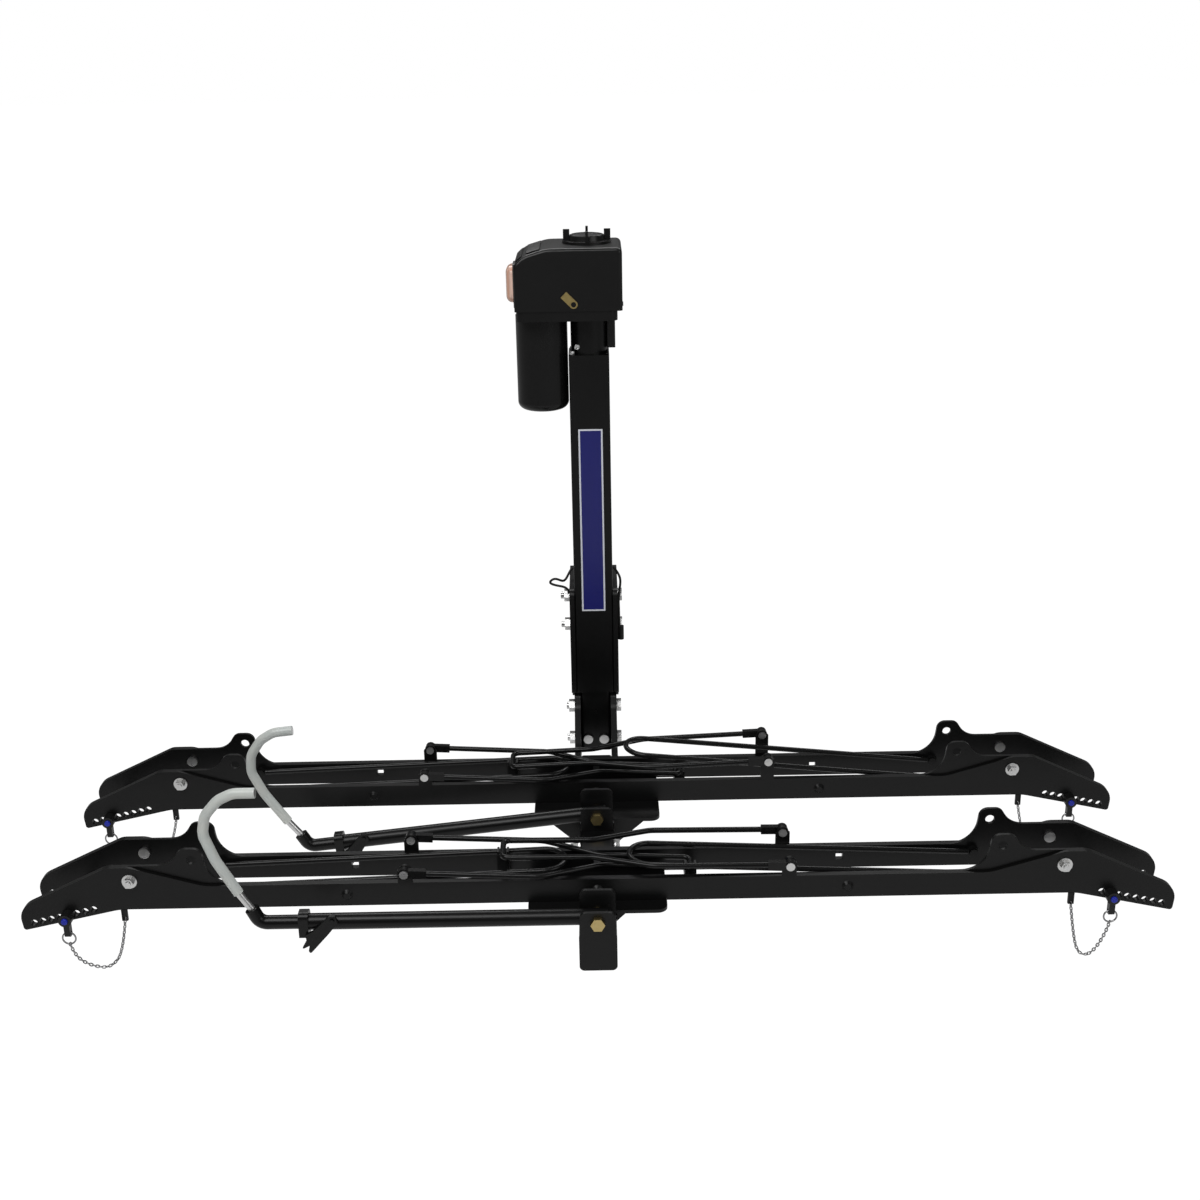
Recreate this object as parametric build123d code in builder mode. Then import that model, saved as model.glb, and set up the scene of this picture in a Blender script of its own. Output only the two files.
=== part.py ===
from build123d import *
import math
import os

# Electric bike lift that slides into a hitch receiver and carries two bikes.
# Millimetres. The origin is the centre of the hitch pin hole, X is across the vehicle,
# +Y points at the vehicle and +Z is up.

os.makedirs("parts", exist_ok=True)

# Hitch bar and its clamp plates
BAR_W = 50.8
BAR_WALL = 6.35
BAR_TAIL = 64.0
PIN_HOLE_D = 16.0
HITCH_REACH = 300.0
CLAMP_T = 8.0
CLAMP_TOP = 150.0
CLAMP_BOTTOM = -70.0
CLAMP_BACK = 120.0
CLAMP_FRONT = 35.0
HITCH_BOLT_D = 12.0
HITCH_BOLT_Z = (115.0, 63.0)
NUT_AF = 19.0
NUT_T = 10.0

# Mast, a square tube that everything hangs from
MAST_W = 63.5
MAST_WALL = 3.2
MAST_LEN = 568.0
MAST_BOTTOM = -33.0

# Sliding carriage inside the mast
CARRIAGE_W = 50.8
CARRIAGE_WALL = 4.8
CARRIAGE_LEN = 588.0
CARRIAGE_BOTTOM = -143.0
RUN = 0.25
PAD_W = 36.0
MAST_PAD_H = 34.0
CARRIAGE_PAD_H = 38.0

# Jack tube, screw and nut
JACK_D = 56.6
JACK_WALL = 4.0
JACK_CLEAR = 10.0
JACK_SHOWN = 65.0
FLANGE_T = 5.0
SCREW_D = 19.0
SCREW_FOOT = 38.0
BORE_FIT = 0.1
NUT_BLOCK_H = 30.0

# Powered head
BASE_T = 15.6
BASE_X = (-110.0, 45.3)
COVER_X = (-112.0, 53.0)
COVER_Y = (-70.0, 50.0)
COVER_H = 94.4
COVER_WALL = 3.0
SHOULDER_W = 50.0
SHOULDER_H = 24.0
SHOULDER_MID = (16.0, 10.0)
COVER_CORNER_R = 8.0
COVER_EDGE_R = 5.0
BASE_INSET = 2.0
MOTOR_X = -73.5
MOTOR_D = 81.0
MOTOR_LEN = 148.7
MOTOR_WALL = 9.0
MOTOR_EDGE_R = 12.0
GEARBOX_X = -62.0
GEARBOX_W = 76.0
GEARBOX_D = 84.0
GEARBOX_H = 44.0
CAP_R = 38.0
CRANK_HOLE_D = 40.0
CAP_DISC_R = 28.0
CAP_TAB_R = 31.5
CAP_TAB_H = 20.0
CAP_TAB_LEN = 10.0
CAP_TAB_T = 4.0
CAP_PLATE_T = 4.0
CAP_DISC_T = 7.0
LENS_H = 57.0
LENS_W = 44.0
LENS_T = 11.0
LENS_BASE_T = 3.0
TAB_LEN = 21.4
TAB_W = 12.4
TAB_T = 2.0
TAB_HOLE_D = 8.0
TAB_X = -21.5
TAB_Z = 10.8
SOCKET_W = 13.5
SOCKET_D = 20.0
SOCKET_H = 52.5

# Cross beam that runs back to front under the trays
BEAM_W = 50.8
BEAM_WALL = 4.8
BEAM_TOP = -104.0
BEAM_FRONT = -971.3
BEAM_REAR = -425.8
CAP_T = 4.0
CHEEK_T = 10.0
CHEEK_TOP = -38.0
CHEEK_OVERLAP = 54.0
PLATE_T = 5.0
PLATE_HALF = 95.0
GUSSET_H = 40.0
GUSSET_X = 70.0
GUSSET_T = 5.0

# Two identical trays
TRAY_Y = (-846.4, -555.8)
TRAY_NAMES = ("front", "rear")
TRAY_IN = 70.0
SIDE_T = 5.0
BOLT_LEVEL = -55.0
WALL_TOP = -10.0
WALL_BOTTOM = -44.0
LUG_X = 551.5
LUG_Z = 28.0
LUG_HALF = 14.5
LUG_TOP = 44.6
LUG_R = 13.0
LUG_FOOT = 6.0
LUG_FLARE = 30.0
LUG_FLARE_R = 28.0
LUG_HOLE_D = 13.0
END_BOLT_X = 636.6
END_BOLT_D = 8.0
END_BOLT_AF = 13.0
END_BOLT_HEAD = 4.5
END_HEAD_D = 16.0
END_NUT_T = 7.0
END_WASHER_D = 20.6
END_WASHER_T = 1.6
TOP_FLAT = 20.0
TOP_X = 668.0
TOP_INNER = 636.0
OUTER_FOOT_X = 536.0
TIP_X = 794.0
TIP_Z = -40.0
TIP_R = 27.0
CORNER_X = 790.0
CORNER_Z = -74.0
BEND_X = 655.0
ADJUST_D = 10.0
ADJUST_COUNT = 8
ADJUST_PITCH = 12.0
ADJUST_X = 775.0
ADJUST_Z = -62.6
ADJUST_RISE = 2.77
WALL_BOLT_X = 342.0
WALL_BOLT_Z = -27.0
WALL_BOLT_D = 8.0

# Wheel hoops, bent from round rod
ROD_D = 8.0
KNUCKLE_X = 262.0
KNUCKLE_OUT = 50.0
KNUCKLE_LEN = 392.0
EYE_R = 8.0
EYE_T = 9.0
RIVET_D = 6.0
LOOP_X = 530.0
LOOP_Z = -20.0
LOOP_HALF = 30.0
LOOP_LEN = 486.0
LOOP_PIN_D = 8.0

# Quick-release pins
PIN_HOLE = {"front": {"left": 4, "right": 6}, "rear": {"left": 2, "right": 4}}
PIN_D = 9.6
PIN_GRIP_D = 18.0
PIN_GRIP_T = 16.0
PIN_TAB_H = 27.0
PIN_TAB_W = 8.0
PIN_TAIL = 8.0
BUTTON_D = 9.0
BUTTON_OUT = 3.0
RING_R = 9.0
RING_WIRE = 1.2
CHAIN_D = 4.0

# Hooked arms
ARM_TUBE_D = 22.2
ARM_TUBE_WALL = 1.5
ARM_INNER_D = 19.0
ARM_TUBE_LEN = 383.0
BRACKET_W = 48.0
BRACKET_T = 5.0
BRACKET_GAP = 24.4
ARM_PIVOT_Z = -82.0
BRACKET_FRONT_TOP = -67.0
BRACKET_BACK_TOP = -50.0
ARM_BOLT_D = 12.0
HOOK_ROD_D = 10.0
SLEEVE_D = 14.0
COLLAR_T = 13.0
COLLAR_D = 34.0
LEVER_BACK = 33.0
ARM_INNER_IN = 183.0
LEVER_T = 5.0
REAR_ARM_TILT = -6.2
REAR_ARM_SHORTER = 12.0

# Values worked out from the driving dimensions
MAST_Y = -HITCH_REACH
MAST_TOP = MAST_BOTTOM + MAST_LEN
MAST_IN = MAST_W - 2 * MAST_WALL
HEAD_Z = MAST_TOP + JACK_SHOWN
COVER_Z = HEAD_Z + BASE_T
CARRIAGE_TOP = CARRIAGE_BOTTOM + CARRIAGE_LEN
JACK_FOOT = CARRIAGE_TOP + JACK_CLEAR
CARRIAGE_IN = CARRIAGE_W - 2 * CARRIAGE_WALL
SIDE_IN = TRAY_IN / 2
SIDE_MID = SIDE_IN + SIDE_T
SIDE_OUT = SIDE_IN + 2 * SIDE_T


def pin_place(tray, side):
    """How far out and how high the hole of one quick-release pin lies."""
    hole = PIN_HOLE[tray][side]
    return ADJUST_X - hole * ADJUST_PITCH, BOLT_LEVEL + ADJUST_Z + hole * ADJUST_RISE


def keep(piece, label):
    piece.label = label
    export_step(piece, f"parts/{label}.step")


def rounded(points, plane):
    """A closed outline from (x, y, radius) points, as a face on the plane."""
    with BuildSketch(plane) as face:
        with BuildLine():
            FilletPolyline(*[(x, y) for x, y, r in points], radius=[r for x, y, r in points], close=True)
        make_face()
    return face.sketch


def both_ends(half):
    """The right half of an outline, and the same points mirrored for the left half."""
    return half + [(-x, z, r) for x, z, r in reversed(half)]


def square_tube(width, wall, length, plane):
    with BuildPart() as tube:
        with BuildSketch(plane):
            RectangleRounded(width, width, wall)
            RectangleRounded(width - 2 * wall, width - 2 * wall, wall / 2, mode=Mode.SUBTRACT)
        extrude(amount=length)
    return tube.part


# Hitch bar, with the pin hole through both walls and a filler on each side
BAR_LEN = HITCH_REACH - MAST_W / 2 + BAR_TAIL
FILLER_T = (MAST_W - BAR_W) / 2
FILLER_LEN = CLAMP_BACK - MAST_W / 2 - 10
with BuildPart() as hitch_bar:
    add(square_tube(BAR_W, BAR_WALL, BAR_LEN, Plane.XZ.offset(-BAR_TAIL)))
    with BuildSketch(Plane.YZ.offset(-BAR_W)):
        Circle(PIN_HOLE_D / 2)
    extrude(amount=2 * BAR_W, mode=Mode.SUBTRACT)
    with Locations((BAR_W / 2 + FILLER_T / 2, MAST_Y + MAST_W / 2 + FILLER_LEN / 2, 0),
                   (-BAR_W / 2 - FILLER_T / 2, MAST_Y + MAST_W / 2 + FILLER_LEN / 2, 0)):
        Box(FILLER_T, FILLER_LEN, BAR_W - 2 * BAR_WALL)
keep(hitch_bar.part, "hitch_bar")

# Clamp plates on both sides of the mast
clamp_outline = [
    (MAST_Y - CLAMP_FRONT, CLAMP_TOP, 12), (MAST_Y + CLAMP_BACK, CLAMP_TOP, 30),
    (MAST_Y + CLAMP_BACK, CLAMP_BOTTOM, 25), (MAST_Y + MAST_W / 2 + 6, CLAMP_BOTTOM, 8),
    (MAST_Y + MAST_W / 2 - 4, MAST_BOTTOM - 1, 6), (MAST_Y - CLAMP_FRONT, MAST_BOTTOM - 1, 6)]
HITCH_BOLT_Y = MAST_Y + MAST_W / 2 + HITCH_BOLT_D
with BuildPart() as clamp_plates:
    for side in (-1, 1):
        start = MAST_W / 2 if side > 0 else -MAST_W / 2 - CLAMP_T
        with BuildSketch(Plane.YZ.offset(start)):
            add(rounded(clamp_outline, Plane.XY))
            with Locations(*[(HITCH_BOLT_Y, z) for z in HITCH_BOLT_Z]):
                Circle(HITCH_BOLT_D / 2 + 0.3, mode=Mode.SUBTRACT)
        extrude(amount=CLAMP_T)
keep(clamp_plates.part, "clamp_plates")

# Zinc bolts and nuts that close the clamp plates behind the mast
CLAMP_OUT = MAST_W / 2 + CLAMP_T
with BuildPart() as hitch_bolts:
    for z in HITCH_BOLT_Z:
        with BuildSketch(Plane.YZ.offset(-CLAMP_OUT - NUT_T - 6)):
            with Locations((HITCH_BOLT_Y, z)):
                Circle(HITCH_BOLT_D / 2)
        extrude(amount=2 * CLAMP_OUT + NUT_T + 12)
        with BuildSketch(Plane.YZ.offset(-CLAMP_OUT - NUT_T)):
            with Locations((HITCH_BOLT_Y, z)):
                RegularPolygon(NUT_AF / math.sqrt(3), 6)
        extrude(amount=NUT_T)
        with BuildSketch(Plane.YZ.offset(CLAMP_OUT)):
            with Locations((HITCH_BOLT_Y, z)):
                RegularPolygon(NUT_AF / math.sqrt(3), 6)
        extrude(amount=NUT_T * 0.8)
keep(hitch_bolts.part, "hitch_bolts")

# Mast tube
keep(square_tube(MAST_W, MAST_WALL, MAST_LEN, Plane((0, MAST_Y, MAST_BOTTOM))), "mast_tube")


def wear_pads(inner, outer, height, base_z):
    """Four slide pads around the carriage, from one half width to another."""
    with BuildPart() as pads:
        with BuildSketch(Plane((0, MAST_Y, base_z))):
            with PolarLocations((inner + outer) / 2, 4):
                Rectangle(outer - inner, PAD_W)
        extrude(amount=height)
    return pads.part


keep(wear_pads(CARRIAGE_W / 2 + RUN, MAST_IN / 2, MAST_PAD_H, MAST_BOTTOM + 2), "mast_pads")

# Carriage tube with a stiffening rib on its front face below the mast
RIB_TOP = MAST_BOTTOM - 36
RIB_W = 4.0
RIB_OUT = 5.0
BOLT_UP = -70.0
BOLT_DOWN = -130.0
CARRIAGE_BOLT_D = 12.0
FOOT_SCREW_Z = -121.0
FOOT_SCREW_X = 13.5
FOOT_SCREW_D = 8.0
with BuildPart() as carriage_tube:
    add(square_tube(CARRIAGE_W, CARRIAGE_WALL, CARRIAGE_LEN, Plane((0, MAST_Y, CARRIAGE_BOTTOM))))
    with Locations((0, MAST_Y - CARRIAGE_W / 2 - RIB_OUT / 2, (RIB_TOP + BOLT_UP - 34) / 2)):
        Box(RIB_W, RIB_OUT, RIB_TOP - BOLT_UP + 34)
    with BuildSketch(Plane.YZ.offset(-CARRIAGE_W)):
        with Locations((MAST_Y, BOLT_UP), (MAST_Y, BOLT_DOWN)):
            Circle(CARRIAGE_BOLT_D / 2 + 0.2)
    extrude(amount=2 * CARRIAGE_W, mode=Mode.SUBTRACT)
    with BuildSketch(Plane.XZ.offset(-MAST_Y + 1)):
        with Locations((FOOT_SCREW_X, FOOT_SCREW_Z), (-FOOT_SCREW_X, FOOT_SCREW_Z)):
            Circle(FOOT_SCREW_D / 2 + 0.2)
    extrude(amount=CARRIAGE_W, mode=Mode.SUBTRACT)
keep(carriage_tube.part, "carriage_tube")

PAD_TOP = CARRIAGE_TOP - 2
keep(wear_pads(CARRIAGE_W / 2, MAST_IN / 2 - RUN, CARRIAGE_PAD_H, PAD_TOP - CARRIAGE_PAD_H), "carriage_pads")

# Nut block in the top of the carriage
with BuildPart() as lift_nut:
    with BuildSketch(Plane((0, MAST_Y, PAD_TOP - NUT_BLOCK_H))):
        RectangleRounded(CARRIAGE_IN, CARRIAGE_IN, CARRIAGE_WALL / 2)
        Circle(SCREW_D / 2 + BORE_FIT, mode=Mode.SUBTRACT)
    extrude(amount=NUT_BLOCK_H)
keep(lift_nut.part, "lift_nut")

# Jack tube with the square flange that sits on the mast
with BuildPart() as jack_tube:
    with BuildSketch(Plane((0, MAST_Y, JACK_FOOT))):
        Circle(JACK_D / 2)
        Circle(JACK_D / 2 - JACK_WALL, mode=Mode.SUBTRACT)
    extrude(amount=HEAD_Z - JACK_FOOT)
    with BuildSketch(Plane((0, MAST_Y, MAST_TOP))):
        RectangleRounded(MAST_W, MAST_W, MAST_WALL)
        Circle(JACK_D / 2 - JACK_WALL, mode=Mode.SUBTRACT)
    extrude(amount=FLANGE_T)
keep(jack_tube.part, "jack_tube")

# Lead screw that runs up into the head, where its top takes the hand crank
CRANK_HEX = 16.0
with BuildPart() as lead_screw:
    with BuildSketch(Plane((0, MAST_Y, SCREW_FOOT + MAST_BOTTOM))):
        Circle(SCREW_D / 2)
    extrude(amount=COVER_Z + 52 - SCREW_FOOT - MAST_BOTTOM)
    with BuildSketch(Plane((0, MAST_Y, COVER_Z + 52))):
        RegularPolygon(CRANK_HEX / math.sqrt(3), 6)
    extrude(amount=26)
keep(lead_screw.part, "lead_screw")

# Head base, a plate that carries the motor and the screw bearing
with BuildPart() as head_base:
    with BuildSketch(Plane((0, MAST_Y, HEAD_Z))):
        with Locations(((BASE_X[0] + BASE_X[1]) / 2, (COVER_Y[0] + COVER_Y[1]) / 2)):
            RectangleRounded(BASE_X[1] - BASE_X[0], COVER_Y[1] - COVER_Y[0] - 2 * BASE_INSET, 12)
        Circle(SCREW_D / 2 + BORE_FIT, mode=Mode.SUBTRACT)
    extrude(amount=BASE_T)
    with BuildSketch(Plane((GEARBOX_X, MAST_Y, COVER_Z))):
        RectangleRounded(GEARBOX_W, GEARBOX_D, 10)
    extrude(amount=GEARBOX_H)
keep(head_base.part, "head_base")

# Head cover, a shell with one large shoulder on the left and a stud for the lock tab
COVER_D = COVER_Y[1] - COVER_Y[0]
COVER_TOP = COVER_Z + COVER_H
COVER_FRONT = MAST_Y + COVER_Y[0]
COVER_BACK = COVER_FRONT + COVER_D
COVER_SPARE = 20.0
cover_outline = [
    (COVER_X[0], COVER_Z - COVER_SPARE, 6), (COVER_X[1], COVER_Z - COVER_SPARE, 6),
    (COVER_X[1], COVER_TOP, COVER_CORNER_R), (COVER_X[0] + SHOULDER_W, COVER_TOP, 60),
    (COVER_X[0] + SHOULDER_MID[0], COVER_TOP - SHOULDER_MID[1], 40), (COVER_X[0], COVER_TOP - SHOULDER_H, 16)]
with BuildPart() as head_cover:
    with BuildSketch(Plane.XZ.offset(-COVER_BACK)):
        add(rounded(cover_outline, Plane.XY))
    extrude(amount=COVER_D)
    ends = head_cover.faces().filter_by(Axis.Y)
    fillet(ends.edges(), COVER_EDGE_R)
    with BuildSketch(Plane.XZ.offset(-COVER_BACK + COVER_WALL)):
        add(rounded(cover_outline, Plane.XY))
        offset(amount=-COVER_WALL, mode=Mode.REPLACE)
    extrude(amount=COVER_D - 2 * COVER_WALL, mode=Mode.SUBTRACT)
    with Locations((0, MAST_Y, COVER_Z - COVER_SPARE)):
        Box(3 * COVER_D, 2 * COVER_D, 2 * COVER_SPARE, mode=Mode.SUBTRACT)
    with BuildSketch(Plane.XZ.offset(-COVER_FRONT)):
        with Locations((TAB_X, COVER_Z + TAB_Z)):
            Circle(TAB_HOLE_D / 2 - BORE_FIT)
    extrude(amount=TAB_T + 1)
    with BuildSketch(Plane((0, MAST_Y, COVER_TOP - 2 * COVER_WALL))):
        Circle(CRANK_HOLE_D / 2)
    extrude(amount=3 * COVER_WALL, mode=Mode.SUBTRACT)
keep(head_cover.part, "head_cover")

# Brass lock tab on the front of the cover
with BuildPart() as lock_tab:
    with BuildSketch(Plane((TAB_X, COVER_FRONT - 0.4, COVER_Z + TAB_Z), x_dir=(-1, 0, 1), z_dir=(0, -1, 0))):
        with Locations((TAB_LEN / 2, 0)):
            Rectangle(TAB_LEN, TAB_W)
        Circle(TAB_W / 2)
        Circle(TAB_HOLE_D / 2, mode=Mode.SUBTRACT)
    extrude(amount=TAB_T)
keep(lock_tab.part, "lock_tab")

# Crank cap on top of the cover, with four finger tabs
with BuildPart() as crank_cap:
    with BuildSketch(Plane((0, MAST_Y, COVER_TOP))):
        Circle(CAP_R)
    extrude(amount=CAP_PLATE_T)
    with BuildSketch(Plane((0, MAST_Y, COVER_TOP + CAP_PLATE_T))):
        Circle(CAP_DISC_R)
    extrude(amount=CAP_DISC_T, taper=8)
    with BuildSketch(Plane((0, MAST_Y, COVER_TOP + CAP_PLATE_T / 2))):
        with PolarLocations(CAP_TAB_R, 4):
            Rectangle(CAP_TAB_LEN, CAP_TAB_T)
    extrude(amount=CAP_TAB_H - CAP_PLATE_T / 2)
keep(crank_cap.part, "crank_cap")

# Side light: base and lens on the left of the cover
LENS_Z = COVER_Z + 5.4
with BuildPart() as light_base:
    with BuildSketch(Plane.YZ.offset(COVER_X[0] - LENS_BASE_T)):
        with Locations((MAST_Y, LENS_Z + LENS_H / 2)):
            RectangleRounded(LENS_W + 6, LENS_H + 6, 10)
    extrude(amount=LENS_BASE_T)
keep(light_base.part, "light_base")
with BuildPart() as light_lens:
    with BuildSketch(Plane.YZ.offset(COVER_X[0] - LENS_BASE_T - LENS_T)):
        with Locations((MAST_Y, LENS_Z + LENS_H / 2)):
            RectangleRounded(LENS_W, LENS_H, 12)
    extrude(amount=LENS_T)
    fillet(light_lens.faces().sort_by(Axis.X)[0].edges(), LENS_T - 1)
keep(light_lens.part, "light_lens")

# Motor can
with BuildPart() as motor_can:
    with BuildSketch(Plane((MOTOR_X, MAST_Y, HEAD_Z - MOTOR_LEN))):
        Circle(MOTOR_D / 2)
    extrude(amount=MOTOR_LEN)
    fillet(motor_can.edges().sort_by(Axis.Z)[0], MOTOR_EDGE_R)
    offset(amount=-MOTOR_WALL, openings=motor_can.faces().sort_by(Axis.Z)[-1])
keep(motor_can.part, "motor_can")
# Power socket under the head, beside the jack tube
with BuildPart() as power_socket:
    with BuildSketch(Plane((JACK_D / 2 + SOCKET_W / 2, MAST_Y, HEAD_Z - SOCKET_H))):
        RectangleRounded(SOCKET_W, SOCKET_D, 2)
    extrude(amount=SOCKET_H)
keep(power_socket.part, "power_socket")

# Lanyard and plug lead that rest on the clamp plates behind the mast
CABLE_D = 4.0
cable_path = [
    (-41.8, -284.0, 128.0), (-45.0, -284.5, 137.0), (-60.0, -286.0, 143.0), (-72.0, -287.0, 150.0),
    (-66.0, -287.0, 155.0), (-51.0, -285.0, 151.0), (-39.0, -272.0, 163.0), (-30.0, -265.0, 170.0),
    (0.0, -266.0, 174.0), (29.0, -265.0, 170.0), (39.5, -268.0, 160.0), (44.8, -277.0, 150.0),
    (42.6, -285.0, 128.0), (42.0, -285.0, 100.0), (41.9, -285.0, 66.0)]
with BuildPart() as bracket_cable:
    with BuildLine() as run:
        Spline(*cable_path)
    with BuildSketch(Plane(run.wire() @ 0, z_dir=run.wire() % 0)):
        Circle(CABLE_D / 2)
    sweep()
    with BuildSketch(Plane((44.9, -285.0, 45.0))):
        Circle(5)
    extrude(amount=24)
keep(bracket_cable.part, "bracket_cable")

# Cross beam and its front cap
BEAM_LEN = BEAM_REAR - BEAM_FRONT
BEAM_MID_Z = BEAM_TOP - BEAM_W / 2
BEAM_BOLT_Y = (BEAM_REAR - 28, -700.0)
BEAM_BOLT_Z = -122.0
with BuildPart() as cross_beam:
    rear_end = Plane((0, BEAM_REAR, BEAM_MID_Z), x_dir=(1, 0, 0), z_dir=(0, -1, 0))
    add(square_tube(BEAM_W, BEAM_WALL, BEAM_LEN, rear_end))
    with BuildSketch(Plane.YZ.offset(-BEAM_W)):
        with Locations(*[(y, BEAM_BOLT_Z) for y in BEAM_BOLT_Y]):
            Circle(CARRIAGE_BOLT_D / 2 + 0.2)
    extrude(amount=2 * BEAM_W, mode=Mode.SUBTRACT)
keep(cross_beam.part, "cross_beam")
cap_outline = [(-BEAM_W / 2, BEAM_TOP, 1), (BEAM_W / 2, BEAM_TOP, 1),
               (BEAM_W / 2, BEAM_TOP - BEAM_W, 7), (-BEAM_W / 2, BEAM_TOP - BEAM_W, 7)]
with BuildPart() as beam_cap:
    with BuildSketch(Plane.XZ.offset(-BEAM_FRONT)):
        add(rounded(cap_outline, Plane.XY))
    extrude(amount=CAP_T)
keep(beam_cap.part, "beam_cap")


def round_y(x, y0, y1, z, d, mode=Mode.ADD):
    """A round bar, or a hole, along Y between two depths."""
    with Locations(Location((x, (y0 + y1) / 2, z), (90, 0, 0))):
        Cylinder(d / 2, y1 - y0, mode=mode)


def hex_y(x, y0, y1, z, flats):
    """A hexagon head or nut along Y."""
    with BuildSketch(Plane.XZ.offset(-y1)) as head:
        with Locations((x, z)):
            RegularPolygon(flats / math.sqrt(3), 6)
    extrude(head.sketch, amount=y1 - y0)


def round_x(x0, x1, y, z, d, mode=Mode.ADD):
    """A round bar, or a hole, along X between two widths."""
    with Locations(Location(((x0 + x1) / 2, y, z), (0, 90, 0))):
        Cylinder(d / 2, x1 - x0, mode=mode)


def hex_x(x0, x1, y, z, flats):
    """A hexagon head or nut along X."""
    with BuildSketch(Plane.YZ.offset(x0)) as head:
        with Locations((y, z)):
            RegularPolygon(flats / math.sqrt(3), 6)
    extrude(head.sketch, amount=x1 - x0)


def bent_rod(points, radii, diameter, bore=0.0):
    """A round rod, or a tube, swept along a path with rounded bends."""
    with BuildPart() as rod:
        with BuildLine() as path:
            FilletPolyline(*points, radius=radii)
        with BuildSketch(Plane(path.wire() @ 0, z_dir=path.wire() % 0)):
            Circle(diameter / 2)
            if bore:
                Circle(bore / 2, mode=Mode.SUBTRACT)
        sweep()
    return rod.part


# Side plates that join the carriage to the cross beam
CHEEK_IN = CARRIAGE_W / 2
CHEEK_OUT = CHEEK_IN + CHEEK_T
CHEEK_FRONT = BEAM_REAR - CHEEK_OVERLAP
cheek_outline = [
    (MAST_Y + 26, CHEEK_TOP, 6), (MAST_Y + 26, BEAM_TOP - BEAM_W, 10), (CHEEK_FRONT, BEAM_TOP - BEAM_W, 10),
    (CHEEK_FRONT, BEAM_TOP, 10), (BEAM_REAR + 30, BEAM_TOP, 20), (MAST_Y - 40, -56, 20),
    (MAST_Y - 31, CHEEK_TOP, 6)]
with BuildPart() as beam_side_plates:
    for start in (CHEEK_IN, -CHEEK_OUT):
        with BuildSketch(Plane.YZ.offset(start)):
            add(rounded(cheek_outline, Plane.XY))
            with Locations((MAST_Y, BOLT_UP), (MAST_Y, BOLT_DOWN), (BEAM_BOLT_Y[0], BEAM_BOLT_Z)):
                Circle(CARRIAGE_BOLT_D / 2 + 0.2, mode=Mode.SUBTRACT)
        extrude(amount=CHEEK_T)
keep(beam_side_plates.part, "beam_side_plates")

# Zinc bolts of the carriage foot and the beam
WASHER_D = 33.0
WASHER_T = 2.5
with BuildPart() as carriage_bolts:
    for y, z, half in ((MAST_Y, BOLT_UP, CHEEK_OUT), (MAST_Y, BOLT_DOWN, CHEEK_OUT),
                       (BEAM_BOLT_Y[0], BEAM_BOLT_Z, CHEEK_OUT), (BEAM_BOLT_Y[1], BEAM_BOLT_Z, BEAM_W / 2)):
        round_x(-half - NUT_T - 4, half + NUT_T * 0.6, y, z, CARRIAGE_BOLT_D)
        hex_x(half, half + NUT_T * 0.8, y, z, NUT_AF)
        hex_x(-half - NUT_T, -half, y, z, NUT_AF)
    for x in (BEAM_W / 2, -BEAM_W / 2 - WASHER_T):
        round_x(x, x + WASHER_T, BEAM_BOLT_Y[1], BEAM_BOLT_Z, WASHER_D)
    for x in (FOOT_SCREW_X, -FOOT_SCREW_X):
        round_y(x, MAST_Y - CARRIAGE_W / 2 - 5, MAST_Y - CARRIAGE_W / 2, FOOT_SCREW_Z, 16)
        round_y(x, MAST_Y - CARRIAGE_W / 2, MAST_Y - CARRIAGE_W / 2 + 12, FOOT_SCREW_Z, FOOT_SCREW_D)
keep(carriage_bolts.part, "carriage_bolts")

# Support plates under the trays, with gussets down the sides of the beam
ARM_Y = (-958.1, -667.5)
PLATE_SPAN = ((-916.5, -796.0), (-655.8, -505.0))
GUSSET_SIZE = ((12.0, 12.0), (GUSSET_X - BEAM_W / 2, GUSSET_H))
with BuildPart() as support_plates:
    for (front, back), (reach, drop), arm_y in zip(PLATE_SPAN, GUSSET_SIZE, ARM_Y):
        plate_outline = [
            (-PLATE_HALF, back, 6), (PLATE_HALF, back, 6), (PLATE_HALF, front, 14), (-PLATE_HALF, front, 14)]
        with BuildSketch(Plane.XY.offset(BEAM_TOP)):
            add(rounded(plate_outline, Plane.XY))
            with Locations((0, arm_y)):
                Rectangle(BRACKET_W + 1, BRACKET_GAP + 2 * BRACKET_T + 1, mode=Mode.SUBTRACT)
        extrude(amount=PLATE_T)
        for side in (-1, 1):
            with BuildSketch(Plane.XZ.offset(-front - GUSSET_T)):
                with BuildLine():
                    Polyline((side * BEAM_W / 2, BEAM_TOP), (side * (BEAM_W / 2 + reach), BEAM_TOP),
                             (side * BEAM_W / 2, BEAM_TOP - drop), close=True)
                make_face()
            extrude(amount=GUSSET_T)
keep(support_plates.part, "support_plates")

# Brackets that hold the arms on top of the beam, front plate and back plate for each arm
with BuildPart() as arm_brackets:
    for arm_y in ARM_Y:
        for y, top in ((arm_y - BRACKET_GAP / 2 - BRACKET_T, BRACKET_FRONT_TOP),
                       (arm_y + BRACKET_GAP / 2, BRACKET_BACK_TOP)):
            bracket_outline = [
                (-BRACKET_W / 2, BEAM_TOP, 0.5), (BRACKET_W / 2, BEAM_TOP, 0.5),
                (BRACKET_W / 2, top, 8), (-BRACKET_W / 2, top, 8)]
            with BuildSketch(Plane.XZ.offset(-y - BRACKET_T)):
                add(rounded(bracket_outline, Plane.XY))
                with Locations((0, ARM_PIVOT_Z)):
                    Circle(ARM_BOLT_D / 2 + 0.1, mode=Mode.SUBTRACT)
            extrude(amount=BRACKET_T)
keep(arm_brackets.part, "arm_brackets")

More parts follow.
